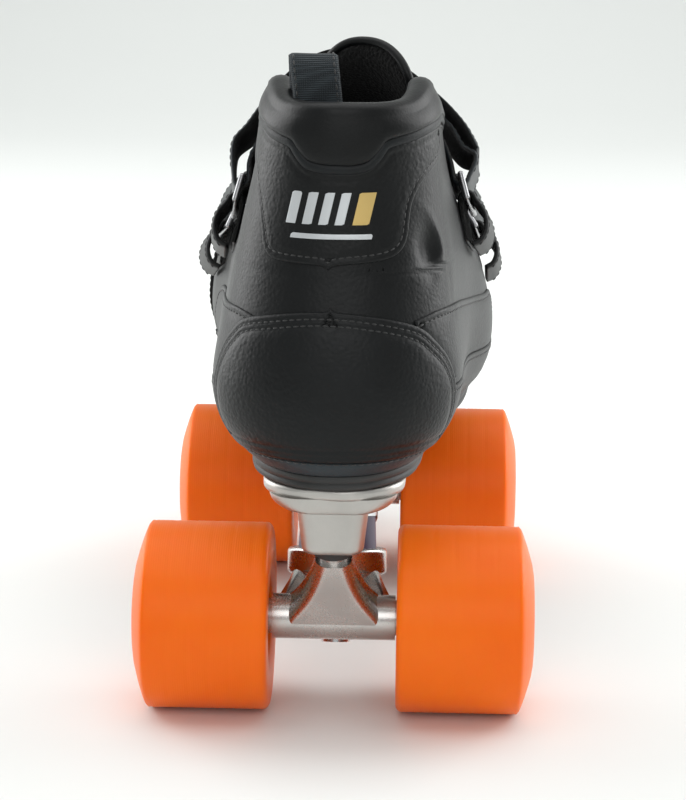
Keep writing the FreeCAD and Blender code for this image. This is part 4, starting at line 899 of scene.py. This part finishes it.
# ------------------------------------------------------------------ heel counter
def build_counter():
    low = 5.2
    foot = [rz(0, low)]
    right_foot = [sz(a, low, 1) for a in (16, 24, 30)]
    left_foot = [sz(a, low, -1) for a in (30, 24, 16)]
    right = rounded([sz(29.6, 10.0, 1), sz(28.0, 18.0, 1), sz(26.2, 27.1, 1), sz(22.5, 35.8, 1),
                     sz(17.4, 41.7, 1), rz(26.7, 46.7), rz(17.3, 50.2), rz(8.1, 51.9), rz(4.0, 52.4)], 2)
    left = rounded([rz(-5.0, 52.7), rz(-10.4, 52.3), rz(-18.3, 50.9), rz(-28.2, 48.2), sz(20.6, 44.6, -1),
                    sz(26.0, 37.0, -1), sz(28.6, 27.0, -1), sz(29.6, 18.0, -1), sz(30.0, 10.0, -1)], 2)
    bump = notch(*rz(-1.0, 52.6), 1.4, 1)
    outline = foot + right_foot + list(right) + bump + list(left) + left_foot
    patch("heel_counter_leather", outline, 1.2, M_PANEL, base=0.12, edge=1.2,
          dips=((2.2, 0.28, 0.6), (4.2, 0.28, 0.6)), step=2.0, swell=0.5, replaces=("heel_counter",))
    flat = np.array(list(right) + list(left))
    for d in (2.2, 4.2):
        threads.on_chart("counter_stitches", inward(flat, d, closed=False), 1.08, spacing=2.35, length=1.7,
                         radius=0.3)


build_counter()


# ------------------------------------------------------------------ side panels
def build_sides():
    """Two overlapping panels on each side, from beneath the heel counter to the forefoot."""
    for side, name in ((1, "outer"), (-1, "inner")):
        top = [sz(12.5, 48.6, side), sz(21.4, 50.8, side), sz(38.4, 49.4, side), sz(58.0, 46.6, side),
               sz(77.8, 43.1, side), sz(100.0, 39.6, side), sz(120.0, 36.5, side), sz(140.0, 34.6, side),
               sz(151.0, 30.0, side), sz(156.0, 20.0, side)]
        seam = [sz(24.0, 25.6, side), sz(40.0, 24.6, side), sz(62.0, 23.2, side), sz(86.7, 21.7, side),
                sz(105.0, 19.1, side), sz(121.0, 17.4, side), sz(140.0, 15.6, side), sz(156.0, 14.4, side)]
        back = [sz(23.0, 30.0, side), sz(17.0, 38.0, side), sz(12.0, 44.0, side)]
        low = [sz(a, 5.4, side) for a in (156, 130, 105, 80, 60, 40, 25)]
        top_line, seam_line = rounded(top, 2), rounded(seam, 2)
        for kind, line, outline, thick in (
                ("quarter", top_line, list(top_line) + list(seam_line)[::-1] + back, 0.7),
                ("foxing", seam_line, list(seam_line) + low, 1.05)):
            outline = [tuple(q) for q in outline]
            patch("%s_panel_%s" % (kind, name), outline if side > 0 else outline[::-1], thick, M_GRAIN,
                  base=0.1, edge=0.8, dips=((2.0, 0.2, 0.6),), step=3.0)
            line = np.array(line) if side > 0 else np.array(line)[::-1]
            threads.on_chart("quarter_stitches", inward(line, -2.0, closed=False), thick + 0.04,
                             **FINE_STITCH)


build_sides()


# ------------------------------------------------------------------ toe cap
TOE_LINE = side_line(((203, 5.4), (205, 14.0), (208, 26.0), (214, 40.0), (222, 52.0), (232, 64.0)))


def build_toe_cap():
    rows, cols = 44, 121
    thick = 1.2
    zs = UPPER_Z + 5.4 + np.linspace(0, 1, rows) ** 0.9 * 50.0
    verts_rows = []
    for z in zs:
        y_line = float(np.interp(z, TOE_LINE[:, 1], TOE_LINE[:, 0]))
        k = (z - Z0) / DZ
        row = bilinear(GRID, np.full(NA, k), np.arange(NA, dtype=float))
        y_max = row[:, 1].max()
        if y_line > y_max - 0.4:
            break
        right = float(np.interp(y_line, row[NA // 2:, 1], THETAS[NA // 2:]))
        left = float(np.interp(y_line, row[NA // 2::-1, 1], THETAS[NA // 2::-1]))
        c = np.linspace(0, 1, cols)
        theta = right + (2 * math.pi + left - right) * c
        theta = np.where(theta > math.pi, theta - 2 * math.pi, theta)
        verts_rows.append(at_angle(theta, z, 0.12))
    n = len(verts_rows)
    verts = np.concatenate(verts_rows)
    last = verts_rows[-1]
    tip = np.array([[0.5 * (last[0, 0] + last[-1, 0]), last[:, 1].mean(), last[:, 2].mean() + 0.6]])
    verts = np.concatenate([verts, tip])
    faces = grid_faces(n, cols)
    base = (n - 1) * cols
    for j in range(cols - 1):
        faces.append((base + j, base + j + 1, n * cols))
    obj = make("toe_cap_leather", verts, faces, M_PANEL, replaces=("toe_cap",))
    tidy_mesh(obj, 0.02)
    mod = obj.modifiers.new("wall", "SOLIDIFY")
    mod.thickness = thick * MM
    mod.offset = 1
    bevel = obj.modifiers.new("edge", "BEVEL")
    bevel.width = 0.5 * MM
    bevel.segments = 2
    bevel.limit_method = "ANGLE"
    edge_r = np.array([r[0] for r in verts_rows])
    edge_l = np.array([r[-1] for r in verts_rows])
    path = np.concatenate([edge_r, edge_l[::-1]])
    path = resample(path, 1.0)
    for shift in (1.8, 3.8):
        q = path.copy()
        q[:, 1] += shift
        level = np.clip(q[:, 2], UPPER_Z, 150)
        theta = []
        for pt in q:
            row = bilinear(GRID, np.full(NA, (pt[2] - Z0) / DZ), np.arange(NA, dtype=float))
            y = min(pt[1], row[:, 1].max() - 0.05)
            half = slice(NA // 2, NA) if pt[0] > middle(np.array(pt[1])) else slice(NA // 2, None, -1)
            theta.append(float(np.interp(y, row[half, 1], THETAS[half])))
        theta = np.array(theta)
        s = at_angle(theta, level, 1.42)
        threads.add("toe_stitches", s, at_angle(theta, level, 2.42) - s, **FINE_STITCH)


build_toe_cap()


# ------------------------------------------------------------------ rand and sole
def ring_profile(name, profile, material, replaces=(), cap=False):
    """A closed band round the boot: profile points are (offset outwards, z, level of the outline)."""
    count = 420
    theta = np.linspace(-math.pi, math.pi, count, endpoint=False)
    rows = []
    for off, z, level in profile:
        p = at_angle(theta, np.full(count, level), 0.0)
        q = at_angle(theta, np.full(count, level), 1.0)
        d = q - p
        d[:, 2] = 0
        r = p + unit(d) * off
        r[:, 2] = z
        rows.append(r)
    verts = np.concatenate(rows)
    faces = grid_faces(len(rows), count, wrap_cols=True)
    if cap:
        faces.append(tuple(range(count)))
        faces.append(tuple((len(rows) - 1) * count + k for k in reversed(range(count))))
    make(name, verts, faces, material, replaces=replaces)


ring_profile("rand_strip", ((-2.0, 88.2, 88.2), (0.55, 88.15, 88.15), (1.0, 88.9, 88.6), (1.15, 90.2, 90.0),
                            (1.1, 91.6, 91.4), (0.85, 92.5, 92.4), (0.3, 93.0, 92.9), (-1.5, 93.2, 93.2)),
             M_RAND, replaces=("rand",))
ring_profile("rand_bead", ((-0.4, 93.0, 93.0), (0.75, 93.15, 93.1), (1.05, 93.6, 93.6), (0.8, 94.1, 94.1),
                           (-0.4, 94.4, 94.4)), M_PANEL)
threads_theta = np.linspace(-math.pi, math.pi, 900)
p = at_angle(threads_theta, 92.75, 0.75)
threads.add("rand_stitches", p, at_angle(threads_theta, 92.75, 1.75) - p, spacing=2.6, length=1.9,
            radius=0.26, closed=True)
L0 = 88.3
ring_profile("outsole_rubber", ((-6.0, 83.05, L0), (-1.0, 83.05, L0), (-0.35, 83.3, L0), (-0.2, 84.0, L0),
                                (-0.2, 84.9, L0), (-0.55, 85.1, L0), (-0.55, 85.4, L0), (-0.15, 85.6, L0),
                                (-0.05, 87.4, L0), (-0.3, 87.95, L0), (-6.0, 88.0, L0)),
             M_SOLE, replaces=("outsole",), cap=True)
ring_profile("footbed_cover", ((-5.6, 92.9, 93.0), (-5.2, 93.4, 93.0), (-5.1, 95.0, 93.5), (-5.6, 95.7, 94.0),
                               (-8.0, 95.85, 94.0), (-16.0, 95.6, 94.0)), M_MESH,
             replaces=("footbed",), cap=True)
ring_profile("board_cover", ((-5.0, 88.1, 88.4), (-4.9, 88.4, 88.4), (-4.9, 90.1, 89.0), (-5.2, 90.45, 89.0)),
             M_LINING, replaces=("lasting_board",), cap=True)


# ------------------------------------------------------------------ tongue
def front_surface(x, z, inset):
    """Y of the boot's inner front surface at x, z."""
    k = np.clip((z - Z0) / DZ, 0, NZ - 2)
    row = bilinear(GRID, np.full(NA, k), np.arange(NA, dtype=float))
    m = NA // 2
    centre = middle(row[-1, 1])
    half_x = np.concatenate([row[m + 360:, 0], row[1:m - 359, 0]])
    half_y = np.concatenate([row[m + 360:, 1], row[1:m - 359, 1]])
    order = np.argsort(half_x)
    lo, hi = half_x[order][0], half_x[order][-1]
    scale = 1 + inset / max((hi - lo) / 2, 1)
    place = np.clip((x - centre) * scale + centre, lo, hi)
    return float(np.interp(place, half_x[order], half_y[order])) - inset


def build_tongue():
    rows, cols = 64, 57
    mid, half, top, low = 5.0, 23.0, COLLAR_Z + 11.0, 136.0
    front, back = [], []
    for t in np.linspace(0, 1, rows):
        for c in np.linspace(-1, 1, cols):
            taper = min(max((t - 0.45) / 0.35, 0), 1)
            w = half * (1.0 - 0.3 * taper * taper * (3 - 2 * taper))
            x = mid + 1.8 * taper + w * c
            cap = 19.0 * (1 - math.sqrt(max(1 - min(abs(c), 1.0) ** 2.3, 0)))
            z = low + (top - cap - low) * t
            thick = 7.0 * max(1 - abs(c) ** 5, 0) ** 0.5
            thick = thick * max(1 - max((t - 0.86) / 0.14, 0) ** 2.5, 0) ** 0.5
            channel = 0.5 * max(0, math.cos(c * 9.0)) ** 8
            curl = 3.0 * max((t - 0.8) / 0.2, 0) ** 2
            y = front_surface(x, min(z, SHAPE_TOP), 5.4) + curl
            front.append((x, y - 0.4 * (7.0 - thick) / 2 - channel * 0.3, z))
            back.append((x, y - 0.4 * (7.0 - thick) / 2 - max(thick, 0.25), z))
    n = rows * cols
    faces = grid_faces(rows, cols, flip=True)
    picks = [0] * len(faces)
    inner = grid_faces(rows, cols)
    faces += [tuple(i + n for i in f) for f in inner]
    picks += [1] * len(inner)
    edge = ([i for i in range(cols)] + [i * cols + cols - 1 for i in range(1, rows)]
            + [(rows - 1) * cols + i for i in reversed(range(cols - 1))]
            + [i * cols for i in reversed(range(1, rows - 1))])
    for a, b in zip(edge, edge[1:] + edge[:1]):
        faces.append((a, b, b + n, a + n))
        picks.append(0)
    obj = make("tongue_padding", front + back, faces, M_MESH, replaces=("tongue",), second=M_LINING,
               picks=picks)
    tidy_mesh(obj, 0.01)
    subdivide(obj)
    rim = []
    for c in np.linspace(-0.985, 0.985, 80):
        w = half * 0.7
        cap = 19.0 * (1 - math.sqrt(max(1 - abs(c) ** 2.3, 0)))
        z = top - cap - 0.4
        x = mid + 1.8 + w * c
        rim.append((x, front_surface(x, min(z, SHAPE_TOP), 5.4) - 0.8, z))
    tube_along("tongue_binding", rim, 1.5, M_SMOOTH, ups=(0, -1, 0))


build_tongue()


# ------------------------------------------------------------------ bands: webbing and straps
def band(name, mids, outs, width_dirs, widths, thick, material, across, power, body="skate",
         replaces=(), second=None):
    """A flat band with soft edges. mids[i] is the middle of one cross-section, outs[i] its outward normal
    and width_dirs[i] the direction of its width."""
    e = np.linspace(-1, 1, across)
    e = np.sign(e) * np.abs(e) ** 0.8
    prof = np.maximum(1 - np.abs(e) ** power, 0) ** 0.5
    verts, rows = [], len(mids)
    for m, o, d, w in zip(mids, outs, width_dirs, widths):
        top = m[None] + d[None] * (e[:, None] * w / 2) + o[None] * (prof[:, None] * thick / 2)
        low = m[None] + d[None] * (e[:, None] * w / 2) - o[None] * (prof[:, None] * thick / 2)
        verts.append(np.concatenate([top, low[::-1][1:-1]]))
    per = len(verts[0])
    faces = grid_faces(rows, per, wrap_cols=True)
    picks = [0 if j < across - 1 else 1 for j in range(per)] * (rows - 1)
    faces.append(tuple(reversed(range(per))))
    faces.append(tuple((rows - 1) * per + k for k in range(per)))
    picks += [0, 0]
    obj = make(name, np.concatenate(verts), faces, material, body, replaces,
               second=second or material, picks=picks)
    tidy_mesh(obj, 0.005)


def smooth_path(points, step):
    """A dense smooth path through a few points."""
    pts = np.asarray(points, float)
    s = np.concatenate(([0], np.cumsum(np.linalg.norm(np.diff(pts, axis=0), axis=1))))
    t = np.linspace(0, s[-1], max(int(s[-1] / step), 4))
    return np.stack([hermite(s, pts[:, k], t) for k in range(pts.shape[1])], axis=1)


def build_pull_loop():
    y0, z0 = along(10.6) + WALL + 7.1, UPPER_Z + 93.5
    path = [(-5.2, y0 + 1.0, z0), (-5.6, y0 + 1.1, z0 + 15), (-6.6, y0 + 1.4, z0 + 26),
            (-7.4, y0 + 2.6, z0 + 32.4), (-7.9, y0 + 5.6, z0 + 35.3), (-8.2, y0 + 8.8, z0 + 34.6),
            (-8.2, y0 + 11.2, z0 + 30.5), (-7.8, y0 + 11.6, z0 + 21), (-7.4, y0 + 9.0, z0 + 11),
            (-7.0, y0 + 6.6, z0 + 2.0)]
    p = smooth_path(path, 0.7)
    tan = tangents(p)
    width = np.broadcast_to(np.array((1.0, -0.06, 0.0)), p.shape)
    width = unit(width - tan * np.sum(width * tan, axis=1, keepdims=True))
    out = np.cross(tan, width)
    band("pull_loop_webbing", p, out, width, np.full(len(p), 15.2), 1.5, M_WEB,
         replaces=("pull_loop",), across=13, power=10)
    for s in (-1, 1):
        threads.add("loop_stitches", (p + width * 6.2 * s - out * 0.74)[:52], -out[:52], spacing=2.4,
                    length=1.7, radius=0.26)


build_pull_loop()


class StrapPlane:
    """The tilted plane of a strap's rear edge, from which the strap runs along the instep."""

    def __init__(self, ahead, height, slope):
        s = math.radians(slope)
        self.origin = np.array((0.0, along(ahead), UPPER_Z + height))
        self.sweep = np.array((0.0, math.cos(s), -math.sin(s)))
        self.up = np.array((0.0, math.sin(s), math.cos(s)))

    def over(self, angle, clear, e):
        low, high = 0.0, 90.0
        for _ in range(24):
            r = (low + high) / 2
            p = self.point(r * math.sin(angle), r * math.cos(angle), e)
            side = 1 if p[0] >= 0 else -1
            half = float(bilinear(HALVES[side], (p[2] - Z0) / DZ, (p[1] - Y0) / DY))
            if side * (p[0] - float(middle(p[1]))) < half:
                low = r
            else:
                high = r
        r = low + clear
        return self.point(r * math.sin(angle), r * math.cos(angle), e)

    def point(self, x, n, e):
        return self.origin + np.array((x, 0, 0)) + self.up * n + self.sweep * e

    def round_bar(self, bar, radius, degrees):
        a = math.radians(degrees)
        return bar + np.array((radius * math.cos(a), 0, 0)) + self.up * radius * math.sin(a)


STRAP_W, STRAP_T, BAR_TURN = 30.0, 2.0, 1.5
BAR_FAR = BAR_TURN + STRAP_T
STAND_OFF, RING_DROP, TAB_REACH = 0.5, 8.0, 14.0
STRAP_STITCH = {"spacing": 2.5, "length": 1.8, "radius": 0.3}


def strap_rows(path_of):
    """Cross-sections of a strap: path_of(e) gives the same number of points for a place e across it."""
    rear, front = path_of(0.0), path_of(STRAP_W)
    mid = path_of(STRAP_W / 2)
    centre = (rear + front) / 2
    centre = centre + (mid - centre) * 0.85
    lengths = np.linalg.norm(front - rear, axis=1)
    width = unit(front - rear)
    return centre, unit(np.cross(width, tangents(centre))), width, lengths


def strap_objects(prefix, plane, right, left, reach, tail_body):
    def bars(e):
        return [plane.over(a, BAR_FAR + STAND_OFF, e) for a in (right, left)]

    def base_path(e):
        br, bl = bars(e)
        r = BAR_TURN + STRAP_T / 2
        pts = [plane.over(right * 0.72, 1.9, e) + np.array((0.2, 0, 0)), plane.over(right * 0.86, 2.1, e)]
        pts += [plane.round_bar(br, r, a) for a in (185, 225, 270, 315, 350)]
        pts.append(plane.over(right * 0.93, 11.2, e))
        for i in range(13):
            t = i / 12
            lift = 2.7 + 1.0 * abs(2 * t - 1) ** 3 + 4.6 * math.exp(-((t - 0.02) / 0.13) ** 2)
            pts.append(plane.over(0.84 * (right + (left - right) * t), lift, e))
        pts += [plane.round_bar(bl, r, a) for a in (15, -20, -55, -90, -100)]
        return resample_n(pts, 150)

    def tail_path(e):
        bl = bars(e)[1]
        r = BAR_TURN + STRAP_T / 2 + 0.15
        pts = [plane.round_bar(bl, r, a) for a in (-105, -135, -165)]
        n = 13
        for i in range(n):
            t = i / (n - 1)
            swell = abs(2 * t - 1) ** 2.4
            lift = 3.95 + STRAP_T + 0.4 + 5.2 * swell + 2.0 * math.exp(-((t - 0.9) / 0.12) ** 2)
            pts.append(plane.over(0.82 * left + (reach * right - 0.82 * left) * t, lift, e))
        return resample_n(pts, 120)

    for kind, path_of, body, inner, slot in (
            ("strap", base_path, "skate", M_LOOPSIDE, "smooth_leather"),
            ("strap_tail", tail_path, tail_body, M_HOOKSIDE, "hook_strap")):
        centre, out, width, lengths = strap_rows(path_of)
        probe = centre - plane.origin
        flip = np.sign(np.sum(out[len(out) // 2] * probe[len(out) // 2]))
        out = out * flip
        name = prefix + "_" + kind
        band(name + "_band", centre, out, width, lengths - 0.4, STRAP_T - 0.2, M_STRAP, across=19,
             power=12, body=body, replaces=(name,), second=inner)
        skip = 24 if kind == "strap" else 8
        keep = slice(skip, len(centre) - (14 if kind == "strap" else 2))
        top = STRAP_T / 2 - 0.12
        stitches = name + "_stitches|" + body
        for s in (-1, 1):
            line = centre + width * (lengths[:, None] / 2 - 2.6) * s + out * top
            threads.add(stitches, line[keep], out[keep], **STRAP_STITCH)
        if kind == "strap_tail":
            i = len(centre) - 4
            ends = np.linspace(-1, 1, 20)[:, None] * (lengths[i] / 2 - 2.6)
            line = centre[i] + width[i] * ends + out[i] * top
            threads.add(stitches, line, np.broadcast_to(out[i], line.shape), **STRAP_STITCH)
    for side, bar_k, angle, label in ((1, 0, right, "outer"), (-1, 1, left, "inner")):
        def tab_path(e):
            upper = bars(e)[bar_k]
            below = plane.over(angle + side * 0.25, BAR_FAR + STAND_OFF, e)
            down = (below - upper) / np.linalg.norm(below - upper)
            lower = upper + down * RING_DROP
            foot = plane.over(angle + side * 0.72, STRAP_T + 0.6, e)
            d = (foot - lower) / np.linalg.norm(foot - lower)
            o = np.cross(d, plane.sweep)
            o = o / np.linalg.norm(o)
            if o[0] * side < 0:
                o = -o
            r = 1.4 + 1.15
            pts = [lower - o * (r - 0.4) + d * TAB_REACH, lower - o * r + d * 6.0]
            for a in (180, 140, 90, 40, 0):
                a = math.radians(a)
                pts.append(lower + o * r * math.cos(a) - d * r * math.sin(a))
            pts += [lower + o * (r + 2.6) + d * 5.0, lower + o * (r + 2.8) + d * 10.0,
                    lower + o * (r + 0.6) + d * 14.2, lower + o * (r - 2.6) + d * 15.6]
            return resample_n(pts, 60)

        rear, front = tab_path(2.0), tab_path(STRAP_W - 2.0)
        centre, width = (rear + front) / 2, front - rear
        lengths = np.linalg.norm(width, axis=1)
        width = unit(width)
        out = unit(np.cross(width, tangents(centre)))
        if out[30][0] * side < 0 and abs(out[30][0]) > 0.2 or out[48][0] * side < 0:
            out = -out
        band(prefix + "_tab_" + label, centre, out, width, lengths, 2.1, M_GRAIN, across=15,
             power=9, second=M_LINING)
        for s in (-1, 1):
            line = centre + width * (lengths[:, None] / 2 - 2.2) * s + out * 1.0
            threads.add("tab_stitches", line[30:56], out[30:56], spacing=2.4, length=1.7, radius=0.28)
        line = np.array([centre[36] + width[36] * k + out[36] * 1.0 for k in np.linspace(-11, 11, 20)])
        threads.add("tab_stitches", line, np.broadcast_to(out[36], line.shape), spacing=2.4, length=1.7,
                    radius=0.28)


def resample_n(points, n):
    """A smooth path through a few points, with a set number of places along it."""
    pts = np.asarray(points, float)
    s = np.concatenate(([0], np.cumsum(np.linalg.norm(np.diff(pts, axis=0), axis=1))))
    t = np.linspace(0, s[-1], n)
    return np.stack([hermite(s, pts[:, k], t) for k in range(3)], axis=1)


strap_objects("ankle", StrapPlane(84.0, 62.0, 22.0), 1.06, -1.04, 0.90, "ankle_tail")
strap_objects("forefoot", StrapPlane(140.0, 24.0, 30.0), 0.80, -0.80, 0.90, "forefoot_tail")

for name, (verts, faces) in threads.data.items():
    title, _, body = name.partition("|")
    make(title, verts, faces, M_THREAD, body or "skate")
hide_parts("strap_tabs")


# ------------------------------------------------------------------ wheels
def lathe(name, profile, centre, side, material, slot, body, replaces):
    segments = 160
    a = np.linspace(0, 2 * math.pi, segments, endpoint=False)
    x, r = np.array(profile).T
    x, r = x[:, None], r[:, None]
    verts = np.stack([np.broadcast_to(x * side, (len(x), segments)), centre[1] + r * np.cos(a)[None],
                      centre[2] + r * np.sin(a)[None]], axis=2)
    faces = grid_faces(len(x), segments, wrap_cols=True, wrap_rows=True, flip=side > 0)
    make(name, verts.reshape(-1, 3), faces, material, body, replaces)


def tyre_points():
    outer, r = 65.7, 31.0
    pts = [(22.6, 14.5), (21.6, 16.2), (20.8, 19.5), (20.8, 24.0), (20.8, r - 2.4), (20.95, r - 1.6),
           (21.4, r - 0.8), (22.1, r - 0.2)]
    xs = np.arange(23.0, outer - 5.2, 0.75)
    for i, x in enumerate(xs):
        pts.append((x, r - (0.045 if i % 2 else 0.0) - (0.08 if i % 9 == 4 else 0.0)))
    pts += [(outer - 5.0, r - 0.02), (outer - 4.2, r - 0.9), (outer - 3.4, r - 2.8), (outer - 2.4, r - 5.6),
            (outer - 1.4, r - 8.8), (outer - 0.5, r - 12.0), (outer - 0.05, r - 14.6),
            (outer - 0.3, r - 15.4), (outer - 2.0, 15.3), (58.0, 14.9), (50.5, 14.5), (36.0, 14.5)]
    return pts


for truck, axle_y in (("rear", REAR_Y), ("front", FRONT_Y)):
    for side, label in ((1, "outer"), (-1, "inner")):
        lathe("urethane_%s_%s" % (truck, label), tyre_points(), (0, axle_y, AXLE_Z), side, M_TIRE, "urethane",
              "wheel_%s_%s" % (truck, label), ("tyre_%s_%s" % (truck, label),))


# ------------------------------------------------------------------ floor, light and camera
def plain(name, color, rough):
    m = Nodes(name)
    m.set(Base_Color=(*color, 1), Roughness=rough, Specular_IOR_Level=0.3)
    return m.material


def floor():
    mesh = bpy.data.meshes.new("floor")
    s, back, bend = 2.8, 1.3, 1.1
    profile = [(-s, 0.0), (back, 0.0)]
    for k in range(1, 13):
        a = math.pi / 2 * k / 12
        profile.append((back + bend * math.sin(a), bend * (1 - math.cos(a))))
    profile.append((back + bend, 2.6))
    verts, faces = [], []
    for y, z in profile:
        verts += [(-s, y, z), (s, y, z)]
    for i in range(len(profile) - 1):
        faces.append((2 * i, 2 * i + 1, 2 * i + 3, 2 * i + 2))
    mesh.from_pydata(verts, [], faces)
    mesh.materials.append(plain("paper", (0.8, 0.815, 0.8), 0.75))
    mesh.polygons.foreach_set("use_smooth", np.ones(len(mesh.polygons), dtype=bool))
    obj = bpy.data.objects.new("floor", mesh)
    bpy.context.scene.collection.objects.link(obj)


floor()


def area(name, at, aim, size, power):
    light = bpy.data.lights.new(name, "AREA")
    light.shape = "RECTANGLE"
    light.size, light.size_y = size
    light.energy = power
    obj = bpy.data.objects.new(name, light)
    obj.location = at
    obj.rotation_euler = (Vector(aim) - Vector(at)).to_track_quat("-Z", "Y").to_euler()
    bpy.context.scene.collection.objects.link(obj)


area("soft_left", (-1.0, 0.45, 0.5), (0, -0.05, 0.12), (0.9, 0.9), 9.5)
area("soft_right", (1.0, 0.45, 0.5), (0, -0.05, 0.12), (0.9, 0.9), 9.5)
area("soft_top", (0.0, -0.05, 1.5), (0, 0, 0), (1.6, 1.6), 12.0)
area("backdrop", (0.0, 0.9, 1.7), (0, 2.3, 0.35), (1.8, 0.5), 9.0)
area("soft_front", (0.1, -1.6, 0.9), (0, 0, 0.08), (1.2, 0.9), 6.0)

world = bpy.data.worlds.new("studio")
world.use_nodes = True
world.node_tree.nodes["Background"].inputs[0].default_value = (0.93, 0.96, 0.95, 1)
world.node_tree.nodes["Background"].inputs[1].default_value = 0.5
bpy.context.scene.world = world


def add_camera():
    yaw, pitch, roll = math.radians(1.69), math.radians(13.92), math.radians(0.606)
    forward = Vector((-math.sin(yaw) * math.cos(pitch), math.cos(yaw) * math.cos(pitch), -math.sin(pitch)))
    right = Vector((math.cos(yaw), math.sin(yaw), 0))
    up = right.cross(forward)
    r2 = right * math.cos(roll) + up * math.sin(roll)
    u2 = up * math.cos(roll) - right * math.sin(roll)
    data = bpy.data.cameras.new("camera")
    data.lens = 107.1
    data.sensor_width = 36.0
    data.clip_start = 0.05
    obj = bpy.data.objects.new("camera", data)
    m = Matrix((r2, u2, -forward)).transposed().to_4x4()
    m.translation = Vector((0.0243, -0.7496 + REAR_Y * MM, 0.291))
    obj.matrix_world = m
    bpy.context.scene.collection.objects.link(obj)
    bpy.context.scene.camera = obj


add_camera()
scene = bpy.context.scene
scene.view_settings.view_transform = "Standard"
